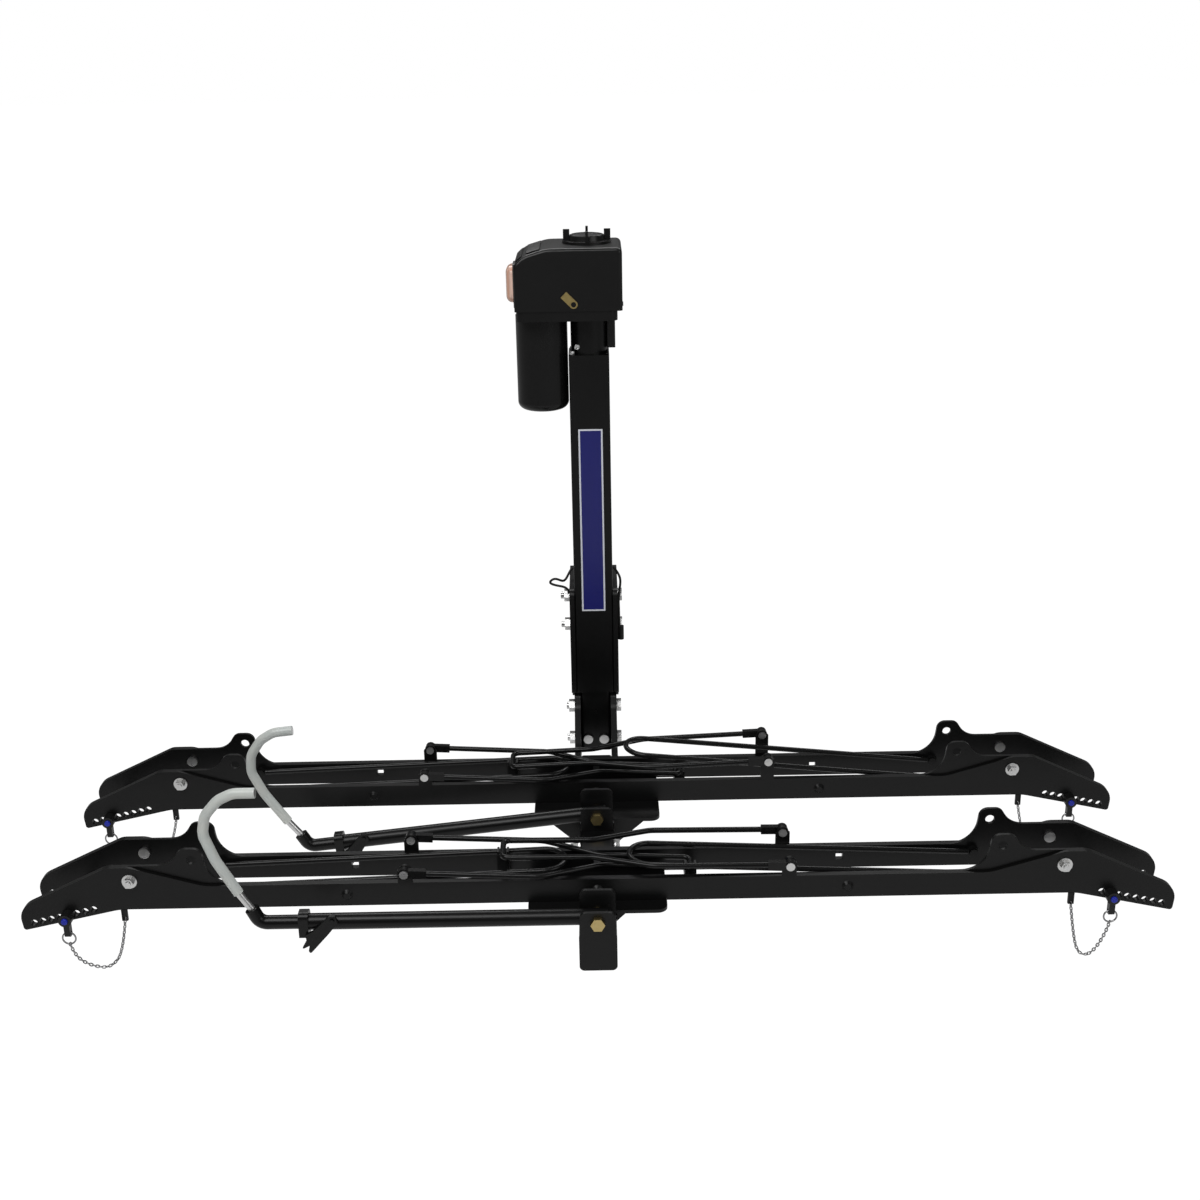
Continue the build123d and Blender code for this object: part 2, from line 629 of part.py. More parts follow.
ARM_BOLT_AF = 17.0
BRACKET_HALF = BRACKET_GAP / 2 + BRACKET_T
with BuildPart() as arm_bolts:
    for arm_y in ARM_Y:
        round_y(0, arm_y - BRACKET_HALF - 5, arm_y + BRACKET_HALF + 9, ARM_PIVOT_Z, ARM_BOLT_D)
        hex_y(0, arm_y - BRACKET_HALF - 7, arm_y - BRACKET_HALF, ARM_PIVOT_Z, ARM_BOLT_AF)
        hex_y(0, arm_y + BRACKET_HALF, arm_y + BRACKET_HALF + 7, ARM_PIVOT_Z, ARM_BOLT_AF)
keep(arm_bolts.part, "arm_bolts")

# Arms. Each is drawn level, with its pivot at the origin, and then placed and tilted.
LEVER_X = ARM_TUBE_LEN - LEVER_BACK
HOOK_BEND = [(65.0, 0.0), (74.5, 21.0)]
HOOK_PATH = [(74.5, 21.0), (89.6, 45.0), (115.8, 95.0), (128.5, 133.0), (123.0, 160.0), (104.0, 182.0),
             (84.0, 191.5), (55.0, 191.5)]
HOOK_RADII = [60.0, 60.0, 30.0, 30.0, 30.0, 30.0]
SLEEVE_RADII = [60.0, 30.0, 30.0, 30.0, 30.0]
LEVER_Z = 10.0
LEVER_OUTLINE = [
    (-7.3, -3.4), (5.1, -19.2), (29.9, -47.4), (32.2, -48.0), (33.9, -45.2), (32.2, -37.3), (40.0, -41.2),
    (41.8, -40.6), (35.6, -29.4), (36.7, -21.5), (26.5, -15.8), (8.5, 1.1), (4.0, 6.5), (-4.4, 6.5)]


def place_arm(piece, arm_y, tilt):
    with BuildPart() as placed:
        with Locations(Location((0, arm_y, ARM_PIVOT_Z), (0, tilt, 0))):
            add(piece)
    return placed.part


def arm_pieces(shorter):
    """The outer tube with its collar, the sliding hook, its sleeve and the cam lever, drawn level."""
    bore = ARM_TUBE_D - 2 * ARM_TUBE_WALL
    with BuildPart() as outer:
        round_x(-ARM_TUBE_LEN, 14, 0, 0, ARM_TUBE_D)
        round_y(-LEVER_X, -ARM_TUBE_D / 2 - LEVER_T - 3, -4, LEVER_Z, 6)
        round_x(-ARM_TUBE_LEN, -30, 0, 0, bore, Mode.SUBTRACT)
        round_y(0, -ARM_TUBE_D, ARM_TUBE_D, 0, ARM_BOLT_D + 2 * BORE_FIT, Mode.SUBTRACT)
        with Locations((-ARM_TUBE_LEN - COLLAR_T / 2, 0, -1)):
            Box(COLLAR_T, ARM_TUBE_D + 1, COLLAR_D)
        fillet(outer.edges().filter_by(Axis.X).group_by(Axis.Z)[-1], 8)
        round_x(-ARM_TUBE_LEN - COLLAR_T, -ARM_TUBE_LEN, 0, 0, bore, Mode.SUBTRACT)
    near = -ARM_TUBE_LEN + shorter
    inner = [(near + ARM_INNER_IN, 0, 0)] + [(near - u, 0, z) for u, z in HOOK_BEND]
    path = [(near - u, 0, z) for u, z in HOOK_PATH]
    with BuildPart() as hook:
        add(bent_rod(inner, [16.0], ARM_INNER_D))
        add(bent_rod(path, HOOK_RADII, HOOK_ROD_D))
    with BuildPart() as sleeve:
        add(bent_rod(path[1:], SLEEVE_RADII, SLEEVE_D, HOOK_ROD_D + 2 * BORE_FIT))
    with BuildPart() as lever:
        with BuildSketch(Plane.XZ.offset(ARM_TUBE_D / 2 + 0.6)):
            with BuildLine():
                Polyline(*[(-LEVER_X - u, z + LEVER_Z) for u, z in LEVER_OUTLINE], close=True)
            make_face()
        extrude(amount=LEVER_T)
        round_y(-LEVER_X, -ARM_TUBE_D, ARM_TUBE_D, LEVER_Z, 6 + 2 * BORE_FIT, Mode.SUBTRACT)
    return outer.part, hook.part, sleeve.part, lever.part


for name, arm_y, tilt, shorter in (("front", ARM_Y[0], 0.0, 0.0),
                                   ("rear", ARM_Y[1], REAR_ARM_TILT, REAR_ARM_SHORTER)):
    outer, hook, sleeve, lever = arm_pieces(shorter)
    keep(place_arm(outer, arm_y, tilt), f"{name}_arm_tube")
    keep(place_arm(hook, arm_y, tilt), f"{name}_hook_rod")
    keep(place_arm(sleeve, arm_y, tilt), f"{name}_hook_sleeve")
    keep(place_arm(lever, arm_y, tilt), f"{name}_cam_lever")

# Tray outlines: right half from the lower bend out to the tip and back to the wall
LOWER_HALF = [(BEND_X, WALL_BOTTOM, 80), (CORNER_X, CORNER_Z, 4), (TIP_X, TIP_Z, TIP_R)]
INNER_HALF = LOWER_HALF + [
    (TOP_X, TOP_FLAT, 25), (LUG_X + LUG_FLARE, TOP_FLAT, LUG_FLARE_R), (LUG_X + LUG_HALF, LUG_TOP, LUG_R),
    (LUG_X - LUG_HALF, LUG_TOP, LUG_R), (LUG_X - LUG_HALF - LUG_FOOT, WALL_TOP, 38)]
OUTER_HALF = LOWER_HALF + [(TOP_X, TOP_FLAT, 25), (TOP_INNER, TOP_FLAT, 30), (OUTER_FOOT_X, WALL_TOP, 60)]
SQUARE_HOLE = 10.0
WALL_BOLTS = (-WALL_BOLT_X, 0.0, WALL_BOLT_X)
# Height of each knuckle pivot over the bolt level, and how far its hoop rises from level, in degrees
KNUCKLE_SET = {"front": {"right": (10.0, 0.6), "left": (8.0, -2.9)},
               "rear": {"right": (24.0, -2.35), "left": (8.0, -3.2)}}
LOOP_TILT = {"front": {"right": 2.8, "left": 2.0}, "rear": {"right": 5.9, "left": 2.0}}
SIGN = {"right": 1, "left": -1}


def level(z):
    return BOLT_LEVEL + z


def tray_plates(half, start, tray_y, knuckles):
    """Both plates of one kind for a tray, with all their holes."""
    outline = [(x, level(z), r) for x, z, r in both_ends(half)]
    with BuildPart() as plates:
        for facing in (-1, 1):
            far = start + SIDE_T
            y0 = tray_y + start if facing > 0 else tray_y - far
            with BuildSketch(Plane.XZ.offset(-y0 - SIDE_T)):
                add(rounded(outline, Plane.XY))
                for side, (z, tilt) in knuckles.items():
                    with Locations((SIGN[side] * KNUCKLE_X, level(z))):
                        Circle(EYE_R + 0.5)
                    with Locations((SIGN[side] * KNUCKLE_X, level((z + WALL_TOP) / 2 - 2))):
                        Rectangle(2 * EYE_R + 4, z - WALL_TOP + 4)
                    with Locations((SIGN[side] * KNUCKLE_X, level(z))):
                        Circle(RIVET_D / 2 + 0.1, mode=Mode.SUBTRACT)
                for side in (-1, 1):
                    with Locations((side * END_BOLT_X, level(0))):
                        Circle(END_BOLT_D / 2 + 0.2, mode=Mode.SUBTRACT)
                    with Locations(*[(side * (ADJUST_X - k * ADJUST_PITCH), level(ADJUST_Z + k * ADJUST_RISE))
                                     for k in range(ADJUST_COUNT)]):
                        Circle(ADJUST_D / 2, mode=Mode.SUBTRACT)
                    if start == SIDE_IN:
                        with Locations((side * LUG_X, level(LUG_Z))):
                            Circle(LUG_HOLE_D / 2, mode=Mode.SUBTRACT)
                with Locations(*[(x, level(WALL_BOLT_Z)) for x in WALL_BOLTS]):
                    if facing > 0:
                        Rectangle(SQUARE_HOLE, SQUARE_HOLE, mode=Mode.SUBTRACT)
                    else:
                        Circle(WALL_BOLT_D / 2 + 0.2, mode=Mode.SUBTRACT)
            extrude(amount=SIDE_T)
    return plates.part


LOOP_PIN_IN = LOOP_HALF - 5.5
LOOP_HEAD_T = 1.5
for name, tray_y in zip(TRAY_NAMES, TRAY_Y):
    with BuildPart() as inner_plates:
        add(tray_plates(INNER_HALF, SIDE_IN, tray_y, {}))
        for x in (-LOOP_X, LOOP_X):
            for facing in (-1, 1):
                ends = sorted((tray_y + facing * LOOP_PIN_IN, tray_y + facing * (SIDE_IN + 1)))
                round_y(x, ends[0], ends[1], level(LOOP_Z), LOOP_PIN_D)
                ends = sorted((tray_y + facing * LOOP_PIN_IN, tray_y + facing * (LOOP_PIN_IN - LOOP_HEAD_T)))
                round_y(x, ends[0], ends[1], level(LOOP_Z), LOOP_PIN_D + 5)
    keep(inner_plates.part, f"{name}_inner_plates")
    keep(tray_plates(OUTER_HALF, SIDE_MID, tray_y, KNUCKLE_SET[name]), f"{name}_outer_plates")

# Zinc bolts through the tray ends, and the rivets of the knuckle hoops
with BuildPart() as tray_bolts:
    for name, tray_y in zip(TRAY_NAMES, TRAY_Y):
        for x in (-END_BOLT_X, END_BOLT_X):
            for facing in (-1, 1):
                reach = [SIDE_IN - END_BOLT_HEAD, SIDE_IN, SIDE_OUT, SIDE_OUT + END_WASHER_T,
                         SIDE_OUT + END_WASHER_T + END_NUT_T, SIDE_OUT + END_WASHER_T + END_NUT_T + 2]
                head, plate, face, washer, nut, end = [tray_y + facing * far for far in reach]
                round_y(x, min(head, end), max(head, end), level(0), END_BOLT_D)
                round_y(x, min(head, plate), max(head, plate), level(0), END_HEAD_D)
                round_y(x, min(face, washer), max(face, washer), level(0), END_WASHER_D)
                hex_y(x, min(washer, nut), max(washer, nut), level(0), END_BOLT_AF)
        for side, (z, tilt) in KNUCKLE_SET[name].items():
            for facing in (-1, 1):
                near = tray_y + facing * (SIDE_MID - 2)
                eye = tray_y + facing * (KNUCKLE_OUT + EYE_T / 2 + 0.3)
                cap = tray_y + facing * (KNUCKLE_OUT + EYE_T / 2 + 2.3)
                x = SIGN[side] * KNUCKLE_X
                round_y(x, min(near, cap), max(near, cap), level(z), RIVET_D)
                round_y(x, min(eye, cap), max(eye, cap), level(z), 12)
                round_y(x, min(near, near + facing * 2), max(near, near + facing * 2), level(z), 12)
keep(tray_bolts.part, "tray_bolts")

# Black round-headed bolts in the front walls
with BuildPart() as wall_bolts:
    for tray_y in TRAY_Y:
        for x in WALL_BOLTS:
            round_y(x, tray_y - SIDE_OUT - 1, tray_y - SIDE_IN + 7, level(WALL_BOLT_Z), WALL_BOLT_D)
            with Locations(Location((x, tray_y - SIDE_OUT, level(WALL_BOLT_Z)), (90, 0, 0))):
                Cone(8, 4.5, 4.5, align=(Align.CENTER, Align.CENTER, Align.MIN))
            hex_y(x, tray_y - SIDE_IN, tray_y - SIDE_IN + 6, level(WALL_BOLT_Z), 13)
keep(wall_bolts.part, "wall_bolts")

# Hoops, each drawn level with its pivot at the origin, then placed and tilted
LOOP_REACH = LOOP_LEN - LOOP_X + KNUCKLE_X
KNUCKLE_BEND = LOOP_REACH - LOOP_HALF - 1
KNUCKLE_NECK = LOOP_REACH + 49
KNUCKLE_END = {"right": 24.0, "left": 14.0}


def place_hoop(piece, side, x, tray_y, z, tilt):
    with BuildPart() as placed:
        with Locations(Location((SIGN[side] * x, tray_y, level(z)), (0, SIGN[side] * tilt, 0))):
            add(piece)
    return placed.part


def knuckle_hoop(side):
    """The hoop with flared legs outside the tray walls and a narrow squared end."""
    s = -SIGN[side]
    end = KNUCKLE_END[side]
    path = [
        (s * EYE_R / 2, -KNUCKLE_OUT, 0), (s * KNUCKLE_BEND, -KNUCKLE_OUT, 0), (s * KNUCKLE_NECK, -end, 0),
        (s * KNUCKLE_LEN, -end, 0), (s * KNUCKLE_LEN, end, 0), (s * KNUCKLE_NECK, end, 0),
        (s * KNUCKLE_BEND, KNUCKLE_OUT, 0), (s * EYE_R / 2, KNUCKLE_OUT, 0)]
    with BuildPart() as hoop:
        add(bent_rod(path, [40.0, 40.0, 9.0, 9.0, 40.0, 40.0], ROD_D))
        for leg in (-KNUCKLE_OUT, KNUCKLE_OUT):
            round_y(0, leg - EYE_T / 2, leg + EYE_T / 2, 0, 2 * EYE_R)
            with Locations((s * 17.5, leg, 0)):
                Box(25, EYE_T, 11)
            round_y(0, leg - EYE_T, leg + EYE_T, 0, RIVET_D + 2 * BORE_FIT, Mode.SUBTRACT)
    return hoop.part


def loop_hoop(side):
    """The long hoop between the tray walls, with a round end."""
    s = -SIGN[side]
    with BuildPart() as hoop:
        with BuildLine() as path:
            Line((s * EYE_R / 2, -LOOP_HALF, 0), (s * (LOOP_LEN - LOOP_HALF), -LOOP_HALF, 0))
            ThreePointArc((s * (LOOP_LEN - LOOP_HALF), -LOOP_HALF, 0), (s * LOOP_LEN, 0, 0),
                          (s * (LOOP_LEN - LOOP_HALF), LOOP_HALF, 0))
            Line((s * (LOOP_LEN - LOOP_HALF), LOOP_HALF, 0), (s * EYE_R / 2, LOOP_HALF, 0))
        with BuildSketch(Plane(path.wire() @ 0, z_dir=path.wire() % 0)):
            Circle(ROD_D / 2)
        sweep()
        for leg in (-LOOP_HALF, LOOP_HALF):
            round_y(0, leg - ROD_D / 2, leg + ROD_D / 2, 0, 2 * EYE_R)
            round_y(0, leg - ROD_D, leg + ROD_D, 0, LOOP_PIN_D + 2 * BORE_FIT, Mode.SUBTRACT)
    return hoop.part


for side in ("right", "left"):
    knuckle = knuckle_hoop(side)
    loop = loop_hoop(side)
    for name, tray_y in zip(TRAY_NAMES, TRAY_Y):
        z, tilt = KNUCKLE_SET[name][side]
        keep(place_hoop(knuckle, side, KNUCKLE_X, tray_y, z, tilt), f"{name}_{side}_knuckle_hoop")
        tilt = LOOP_TILT[name][side]
        keep(place_hoop(loop, side, LOOP_X, tray_y, LOOP_Z, tilt), f"{name}_{side}_loop_hoop")

# Clips that hold the ends of the knuckle hoops, one for each hoop
CLIP_LOW = -42.0
CLIP_W = 16.0
CLIP_BAR_T = 6.0
with BuildPart() as hoop_clips:
    for name, tray_y in zip(TRAY_NAMES, TRAY_Y):
        for side, (z, tilt) in KNUCKLE_SET[name].items():
            x = SIGN[side] * KNUCKLE_X - SIGN[side] * KNUCKLE_LEN * math.cos(math.radians(tilt))
            rod = z + KNUCKLE_LEN * math.sin(math.radians(tilt))
            seat = rod - ROD_D / 2 - 0.3
            with Locations((x, tray_y, level(CLIP_LOW + CLIP_BAR_T / 2))):
                Box(CLIP_W, 2 * SIDE_IN, CLIP_BAR_T)
            with Locations((x, tray_y, level((seat + CLIP_LOW) / 2))):
                Box(CLIP_W, 20, seat - CLIP_LOW)
            for edge in (-1, 1):
                with Locations((x + edge * (CLIP_W / 2 - 1.4), tray_y, level(seat))):
                    Box(2.8, 14, 8)
keep(hoop_clips.part, "hoop_clips")

# Quick-release pins with their rings and buttons
PIN_HEAD_Y = SIDE_OUT + 0.3
RING_Y = PIN_HEAD_Y + PIN_GRIP_T / 2
for name, tray_y in zip(TRAY_NAMES, TRAY_Y):
    for side, s in SIGN.items():
        pin_x, pin_z = pin_place(name, side)
        x = s * pin_x
        head_back = tray_y - PIN_HEAD_Y
        head_front = head_back - PIN_GRIP_T
        with BuildPart() as pin:
            round_y(x, head_back, tray_y + SIDE_OUT + PIN_TAIL, pin_z, PIN_D)
            round_y(x, head_front, head_back, pin_z, PIN_GRIP_D)
            with Locations((x, tray_y - RING_Y, pin_z - PIN_TAB_H / 2)):
                Box(PIN_TAB_W, 10, PIN_TAB_H)
            fillet(pin.edges().filter_by(Axis.X).group_by(Axis.Z)[0], 3)
            round_y(x, head_front, head_front + 11, pin_z, BUTTON_D + 2 * BORE_FIT, Mode.SUBTRACT)
            ring_z = pin_z - PIN_TAB_H + 5
            round_x(x - PIN_GRIP_D, x + PIN_GRIP_D, tray_y - RING_Y, ring_z, 4.8, Mode.SUBTRACT)
            with Locations(Location((x, tray_y - RING_Y, ring_z - RING_R), (90, 0, 0))):
                Torus(RING_R, RING_WIRE)
        keep(pin.part, f"{name}_{side}_pin")
        with BuildPart() as button:
            round_y(x, head_front - BUTTON_OUT, head_front + 7.5, pin_z, BUTTON_D)
            fillet(button.edges().sort_by(Axis.Y)[0], 1.5)
        keep(button.part, f"{name}_{side}_button")

# Safety chains from the rings to a clip under each tray, all about as long, so a short span hangs lower
CHAIN_CLIP_X = 650.0
CHAIN_SPAN = 82.0
CHAIN_LOW = -184.0
CHAIN_DROP = 0.33
CLIP_TOP = -99.5
CLIP_H = 17.8
CLIP_Y = SIDE_MID + SIDE_T / 2


def chain_points(tray, side, tray_y):
    """The hand-set route of one chain, from its ring to its clip."""
    s = SIGN[side]
    pin_x, pin_z = pin_place(tray, side)
    span = pin_x - CHAIN_CLIP_X
    top = pin_z - PIN_TAB_H + 5 - 2 * RING_R - RING_WIRE - 1.8
    low = CHAIN_LOW + (span - CHAIN_SPAN) * CHAIN_DROP
    return [(s * pin_x, tray_y - RING_Y, top), (s * (pin_x - 8), tray_y - RING_Y + 2, (top + low) / 2 - 4),
            (s * (CHAIN_CLIP_X + 0.5 * span), tray_y - 48, low), (s * (CHAIN_CLIP_X + 10), tray_y - CLIP_Y, low + 24),
            (s * CHAIN_CLIP_X, tray_y - CLIP_Y, CLIP_TOP - 14.5)]


def chain(points):
    """A round cord along the route, with the clip at its end."""
    with BuildPart() as cord:
        with BuildLine() as run:
            Spline(*points)
        with BuildSketch(Plane(run.wire() @ 0, z_dir=run.wire() % 0)):
            Circle(CHAIN_D / 2)
        sweep()
        with Locations((points[-1][0], points[-1][1], CLIP_TOP - CLIP_H / 2)):
            Box(9, 4.6, CLIP_H)
    print("chain", round(run.wire().length, 1), "mm")
    return cord.part


with BuildPart() as pin_chains:
    for name, tray_y in zip(TRAY_NAMES, TRAY_Y):
        for side in SIGN:
            add(chain(chain_points(name, side, tray_y)))
keep(pin_chains.part, "pin_chains")
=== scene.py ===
# %% [markdown]
# # Electric bike lift
# A powered lift that stands in a vehicle's hitch and raises two bicycle trays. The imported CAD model
# is the frame: it already has every tube, plate, hoop and pin in its true place. This script gives
# that frame its finishes, adds the small things that a drawing leaves out, and sets up the studio.
# Everything is in metres, with the hitch pin hole at the origin and +Z up.

# %% Load the frame
import math

import bpy
from mathutils import Matrix, Vector


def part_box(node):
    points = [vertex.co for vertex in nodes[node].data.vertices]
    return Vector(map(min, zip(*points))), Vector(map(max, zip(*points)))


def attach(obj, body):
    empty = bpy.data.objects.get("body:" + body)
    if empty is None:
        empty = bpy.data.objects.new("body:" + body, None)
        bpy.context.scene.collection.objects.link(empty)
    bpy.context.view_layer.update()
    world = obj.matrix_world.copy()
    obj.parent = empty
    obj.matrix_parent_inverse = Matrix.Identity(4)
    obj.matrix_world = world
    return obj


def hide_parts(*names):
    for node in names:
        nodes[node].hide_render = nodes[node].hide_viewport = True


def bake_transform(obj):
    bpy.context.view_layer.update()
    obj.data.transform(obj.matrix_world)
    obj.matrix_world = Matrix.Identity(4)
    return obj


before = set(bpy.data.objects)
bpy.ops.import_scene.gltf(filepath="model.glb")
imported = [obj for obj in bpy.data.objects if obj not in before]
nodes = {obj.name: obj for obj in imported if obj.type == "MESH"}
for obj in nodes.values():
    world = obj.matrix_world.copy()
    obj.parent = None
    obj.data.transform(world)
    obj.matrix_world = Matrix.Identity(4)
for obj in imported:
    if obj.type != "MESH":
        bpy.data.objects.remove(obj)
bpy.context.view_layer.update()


# %% [markdown]
# ## Writing shader maths as plain Python
# A procedural material is a web of small nodes. Typed by hand it is long and hard to read, so one
# small class wraps a node's output socket and lets it be added and multiplied. `noise * 0.2 + 0.3`
# then adds the two Math nodes by itself.

# %% A wrapped socket
class Value:
    """An output socket that can be used in an arithmetic expression."""

    def __init__(self, maker, socket):
        self.maker = maker
        self.socket = socket

    def math(self, operation, other):
        inputs = {0: self, 1: other}
        return self.maker.node("ShaderNodeMath", {"operation": operation}, inputs)["Value"]

    def __add__(self, other):
        return self.math("ADD", other)

    def __mul__(self, other):
        return self.math("MULTIPLY", other)

    def above(self, edge, softness):
        """0 below the edge, 1 above it, with a soft step between."""
        return (self.math("SUBTRACT", edge) * (1.0 / softness) + 0.5).clamp()

    def around(self, middle, swing):
        """A pattern of 0 to 1, made to wander about a middle value."""
        return self * swing + (middle - swing / 2)

    def clamp(self):
        return self.math("MINIMUM", 1.0).math("MAXIMUM", 0.0)


# %% [markdown]
# ## One way to make a node
# Everything else goes through one method. It makes a node, sets its options and feeds its inputs,
# each with a plain value or with a wrapped socket. The few kinds of node that most recipes use
# have a short method of their own.

# %% A material maker
class Finish:
    """One material under construction."""

    def __init__(self, name):
        self.material = bpy.data.materials.new(name)
        self.material.use_nodes = True
        self.tree = self.material.node_tree
        self.shader = self.tree.nodes["Principled BSDF"]
        self.place = self.node("ShaderNodeTexCoord")["Object"]

    def node(self, kind, settings=None, inputs=None):
        """Makes one node, and gives its outputs by their names and by their numbers."""
        new = self.tree.nodes.new(kind)
        for key, value in (settings or {}).items():
            setattr(new, key, value)
        for key, value in (inputs or {}).items():
            self.feed(new.inputs[key], value)
        outputs = {}
        for number, socket in enumerate(new.outputs):
            outputs[number] = outputs[socket.name] = Value(self, socket)
        return outputs

    def feed(self, socket, value):
        if isinstance(value, Value):
            self.tree.links.new(value.socket, socket)
        else:
            socket.default_value = value

    def set(self, **inputs):
        for name, value in inputs.items():
            self.feed(self.shader.inputs[name.replace("_", " ")], value)

    def noise(self, scale, detail=3.0, roughness=0.5, place=None):
        inputs = {"Vector": place or self.place, "Scale": scale, "Detail": detail,
                  "Roughness": roughness}
        return self.node("ShaderNodeTexNoise", None, inputs)["Fac"]

    def mix(self, factor, low, high):
        """A colour between two others. In colour mode this node's sockets go by their numbers."""
        settings = {"data_type": "RGBA", "clamp_factor": True}
        return self.node("ShaderNodeMix", settings, {0: factor, 6: low, 7: high})[2]

    def stretched(self, x, y, z):
        settings = {"vector_type": "POINT"}
        inputs = {"Vector": self.place, "Scale": (x, y, z)}
        return self.node("ShaderNodeMapping", settings, inputs)["Vector"]

    def bump(self, height, strength, distance):
        inputs = {"Height": height, "Strength": strength, "Distance": distance}
        self.set(Normal=self.node("ShaderNodeBump", None, inputs)["Normal"])


def grey(level):
    return (level, level, level, 1.0)


# %% [markdown]
# ## Powder coat
# Nearly every steel piece is powder coated black. Baked powder flows into a very fine orange peel
# and gathers a little dust and rubbing, so the colour stays close to black while its roughness
# wanders. A shallow bump from a fine noise gives the peel, and a broad one gives the handling marks.

# %% Black coats
COAT_SPECULAR = 0.24
COAT_BUMP = 0.0004
COAT_SWING = 0.12
SCUFF_ROUGH = 0.06
DUST_LIFT = 1.9


def powder_coat(name, level, rough, peel=0.05):
    coat = Finish(name)
    broad = coat.noise(scale=7.0, detail=4.0, roughness=0.6)
    fine = coat.noise(scale=900.0, detail=2.0)
    rubbed = coat.noise(scale=60.0, detail=6.0, roughness=0.7, place=coat.stretched(0.3, 1.0, 1.0))
    scuffs = rubbed.above(edge=0.66, softness=0.1)
    dust = (broad.above(edge=0.55, softness=0.3) * 0.4 + scuffs * 0.3).clamp()
    coat.set(Base_Color=coat.mix(dust, grey(level), grey(level * DUST_LIFT)),
             Roughness=broad * COAT_SWING + scuffs * SCUFF_ROUGH + (rough - COAT_SWING / 2),
             Metallic=0.0)
    coat.shader.inputs["Specular IOR Level"].default_value = COAT_SPECULAR
    coat.bump(fine + broad * 0.3, peel, COAT_BUMP)
    return coat.material


coats = {
    "plate": powder_coat("plate_coat", level=0.0035, rough=0.36),
    "tube": powder_coat("tube_coat", level=0.003, rough=0.3),
    "rod": powder_coat("rod_coat", level=0.005, rough=0.24, peel=0.03),
    # The darkest, dullest coat: the cover screws' own black, and painted shade on the shoulder plates
    "dark": powder_coat("dark_coat_and_painted_shade", level=0.002, rough=0.5),
}
print("coats", sorted(coats))


# %% [markdown]
# ## Moulded plastic
# The head's cover and cap are moulded in black plastic with a faint spark-eroded grain. A Voronoi
# pattern would look like leather here, so a high-frequency noise with little depth is used instead.

# %% Opaque plastics
PLASTIC_SPECULAR = 0.32
PLASTIC_BUMP = 0.0003
PLASTIC_SWING = 0.1
WORN_LIFT = 1.5


def moulded(name, colour, rough, grain=0.06):
    plastic = Finish(name)
    fine = plastic.noise(scale=1500.0, detail=2.0)
    broad = plastic.noise(scale=12.0, detail=3.0)
    lighter = tuple(c * WORN_LIFT for c in colour[:3]) + (1.0,)
    worn = broad.above(edge=0.6, softness=0.4) * 0.5
    plastic.set(Base_Color=plastic.mix(worn, colour, lighter),
                Roughness=broad.around(rough, PLASTIC_SWING))
    plastic.shader.inputs["Specular IOR Level"].default_value = PLASTIC_SPECULAR
    plastic.bump(fine, grain, PLASTIC_BUMP)
    return plastic.material


cover_black = moulded("cover_black", grey(0.004), rough=0.3)
trim_black = moulded("trim_black", grey(0.006), rough=0.4)
rubber_black = moulded("rubber_black", grey(0.014), rough=0.6, grain=0.12)
button_blue = moulded("button_blue", (0.01, 0.02, 0.32, 1.0), rough=0.3, grain=0.02)
print("plastics", [m.name for m in (cover_black, trim_black, rubber_black, button_blue)])


# %% [markdown]
# ## Plastics that let light in
# The side light has a pinkish lens with ribs moulded inside, and the hooks wear cloudy vinyl
# sleeves. Both take some light in: the lens passes it on, and the vinyl scatters it.

# %% Lens and sleeve
LENS_PINK = (0.9, 0.5, 0.36, 1.0)
LENS_PALE = (1.0, 0.72, 0.6, 1.0)
LENS_IOR = 1.46
VINYL_GREEN = (0.50, 0.54, 0.53, 1.0)
VINYL_YELLOW = (0.60, 0.61, 0.57, 1.0)
VINYL_RADIUS = (0.004, 0.004, 0.004)


def clear_lens():
    """Pinkish clear plastic, with fine upright ribs moulded inside."""
    lens = Finish("lens_clear")
    ribs = lens.node("ShaderNodeTexWave", {"wave_type": "BANDS", "bands_direction": "Y"},
                     {"Vector": lens.place, "Scale": 60.0, "Distortion": 0.0})["Fac"]
    lens.set(Base_Color=lens.mix(ribs, LENS_PINK, LENS_PALE), Roughness=ribs * 0.1 + 0.1)
    lens.shader.inputs["Transmission Weight"].default_value = 0.35
    lens.shader.inputs["IOR"].default_value = LENS_IOR
    lens.bump(ribs, strength=0.4, distance=0.0008)
    return lens.material


def vinyl():
    """The hooks' sleeve: cloudy, slightly green-grey vinyl that has started to yellow."""
    skin = Finish("sleeve_vinyl")
    cloud = skin.noise(scale=26.0, detail=4.0, roughness=0.6)
    aged = cloud.above(edge=0.5, softness=0.5)
    skin.set(Base_Color=skin.mix(aged, VINYL_GREEN, VINYL_YELLOW), Roughness=cloud * 0.15 + 0.22)
    skin.shader.inputs["Subsurface Weight"].default_value = 0.15
    skin.shader.inputs["Subsurface Radius"].default_value = VINYL_RADIUS
    skin.shader.inputs["Subsurface Scale"].default_value = 0.6
    skin.bump(cloud, strength=0.1, distance=0.0006)
    return skin.material


lens_clear = clear_lens()
sleeve_vinyl = vinyl()
print("clear and cloudy", lens_clear.name, sleeve_vinyl.name)


# %% [markdown]
# ## Bare and plated metals
# Bolts are zinc plated: a cool bright metal with cloudy passivation and a hint of yellow. Brass is
# warmer and duller. Both are fully metallic, so their colour comes from what they reflect, and the
# roughness does most of the work.

# %% Metals
METAL_BUMP = 0.0002
METAL_SWING = 0.18


def metal(name, low, high, rough, scratch=0.04):
    plating = Finish(name)
    cloud = plating.noise(scale=120.0, detail=4.0, roughness=0.6)
    lines = plating.noise(scale=700.0, detail=2.0, roughness=0.5,
                          place=plating.stretched(1.0, 0.1, 1.0))
    plating.set(Base_Color=plating.mix(cloud, low, high),
                Roughness=cloud.around(rough, METAL_SWING),
                Metallic=1.0)
    plating.bump(lines, scratch, METAL_BUMP)
    return plating.material


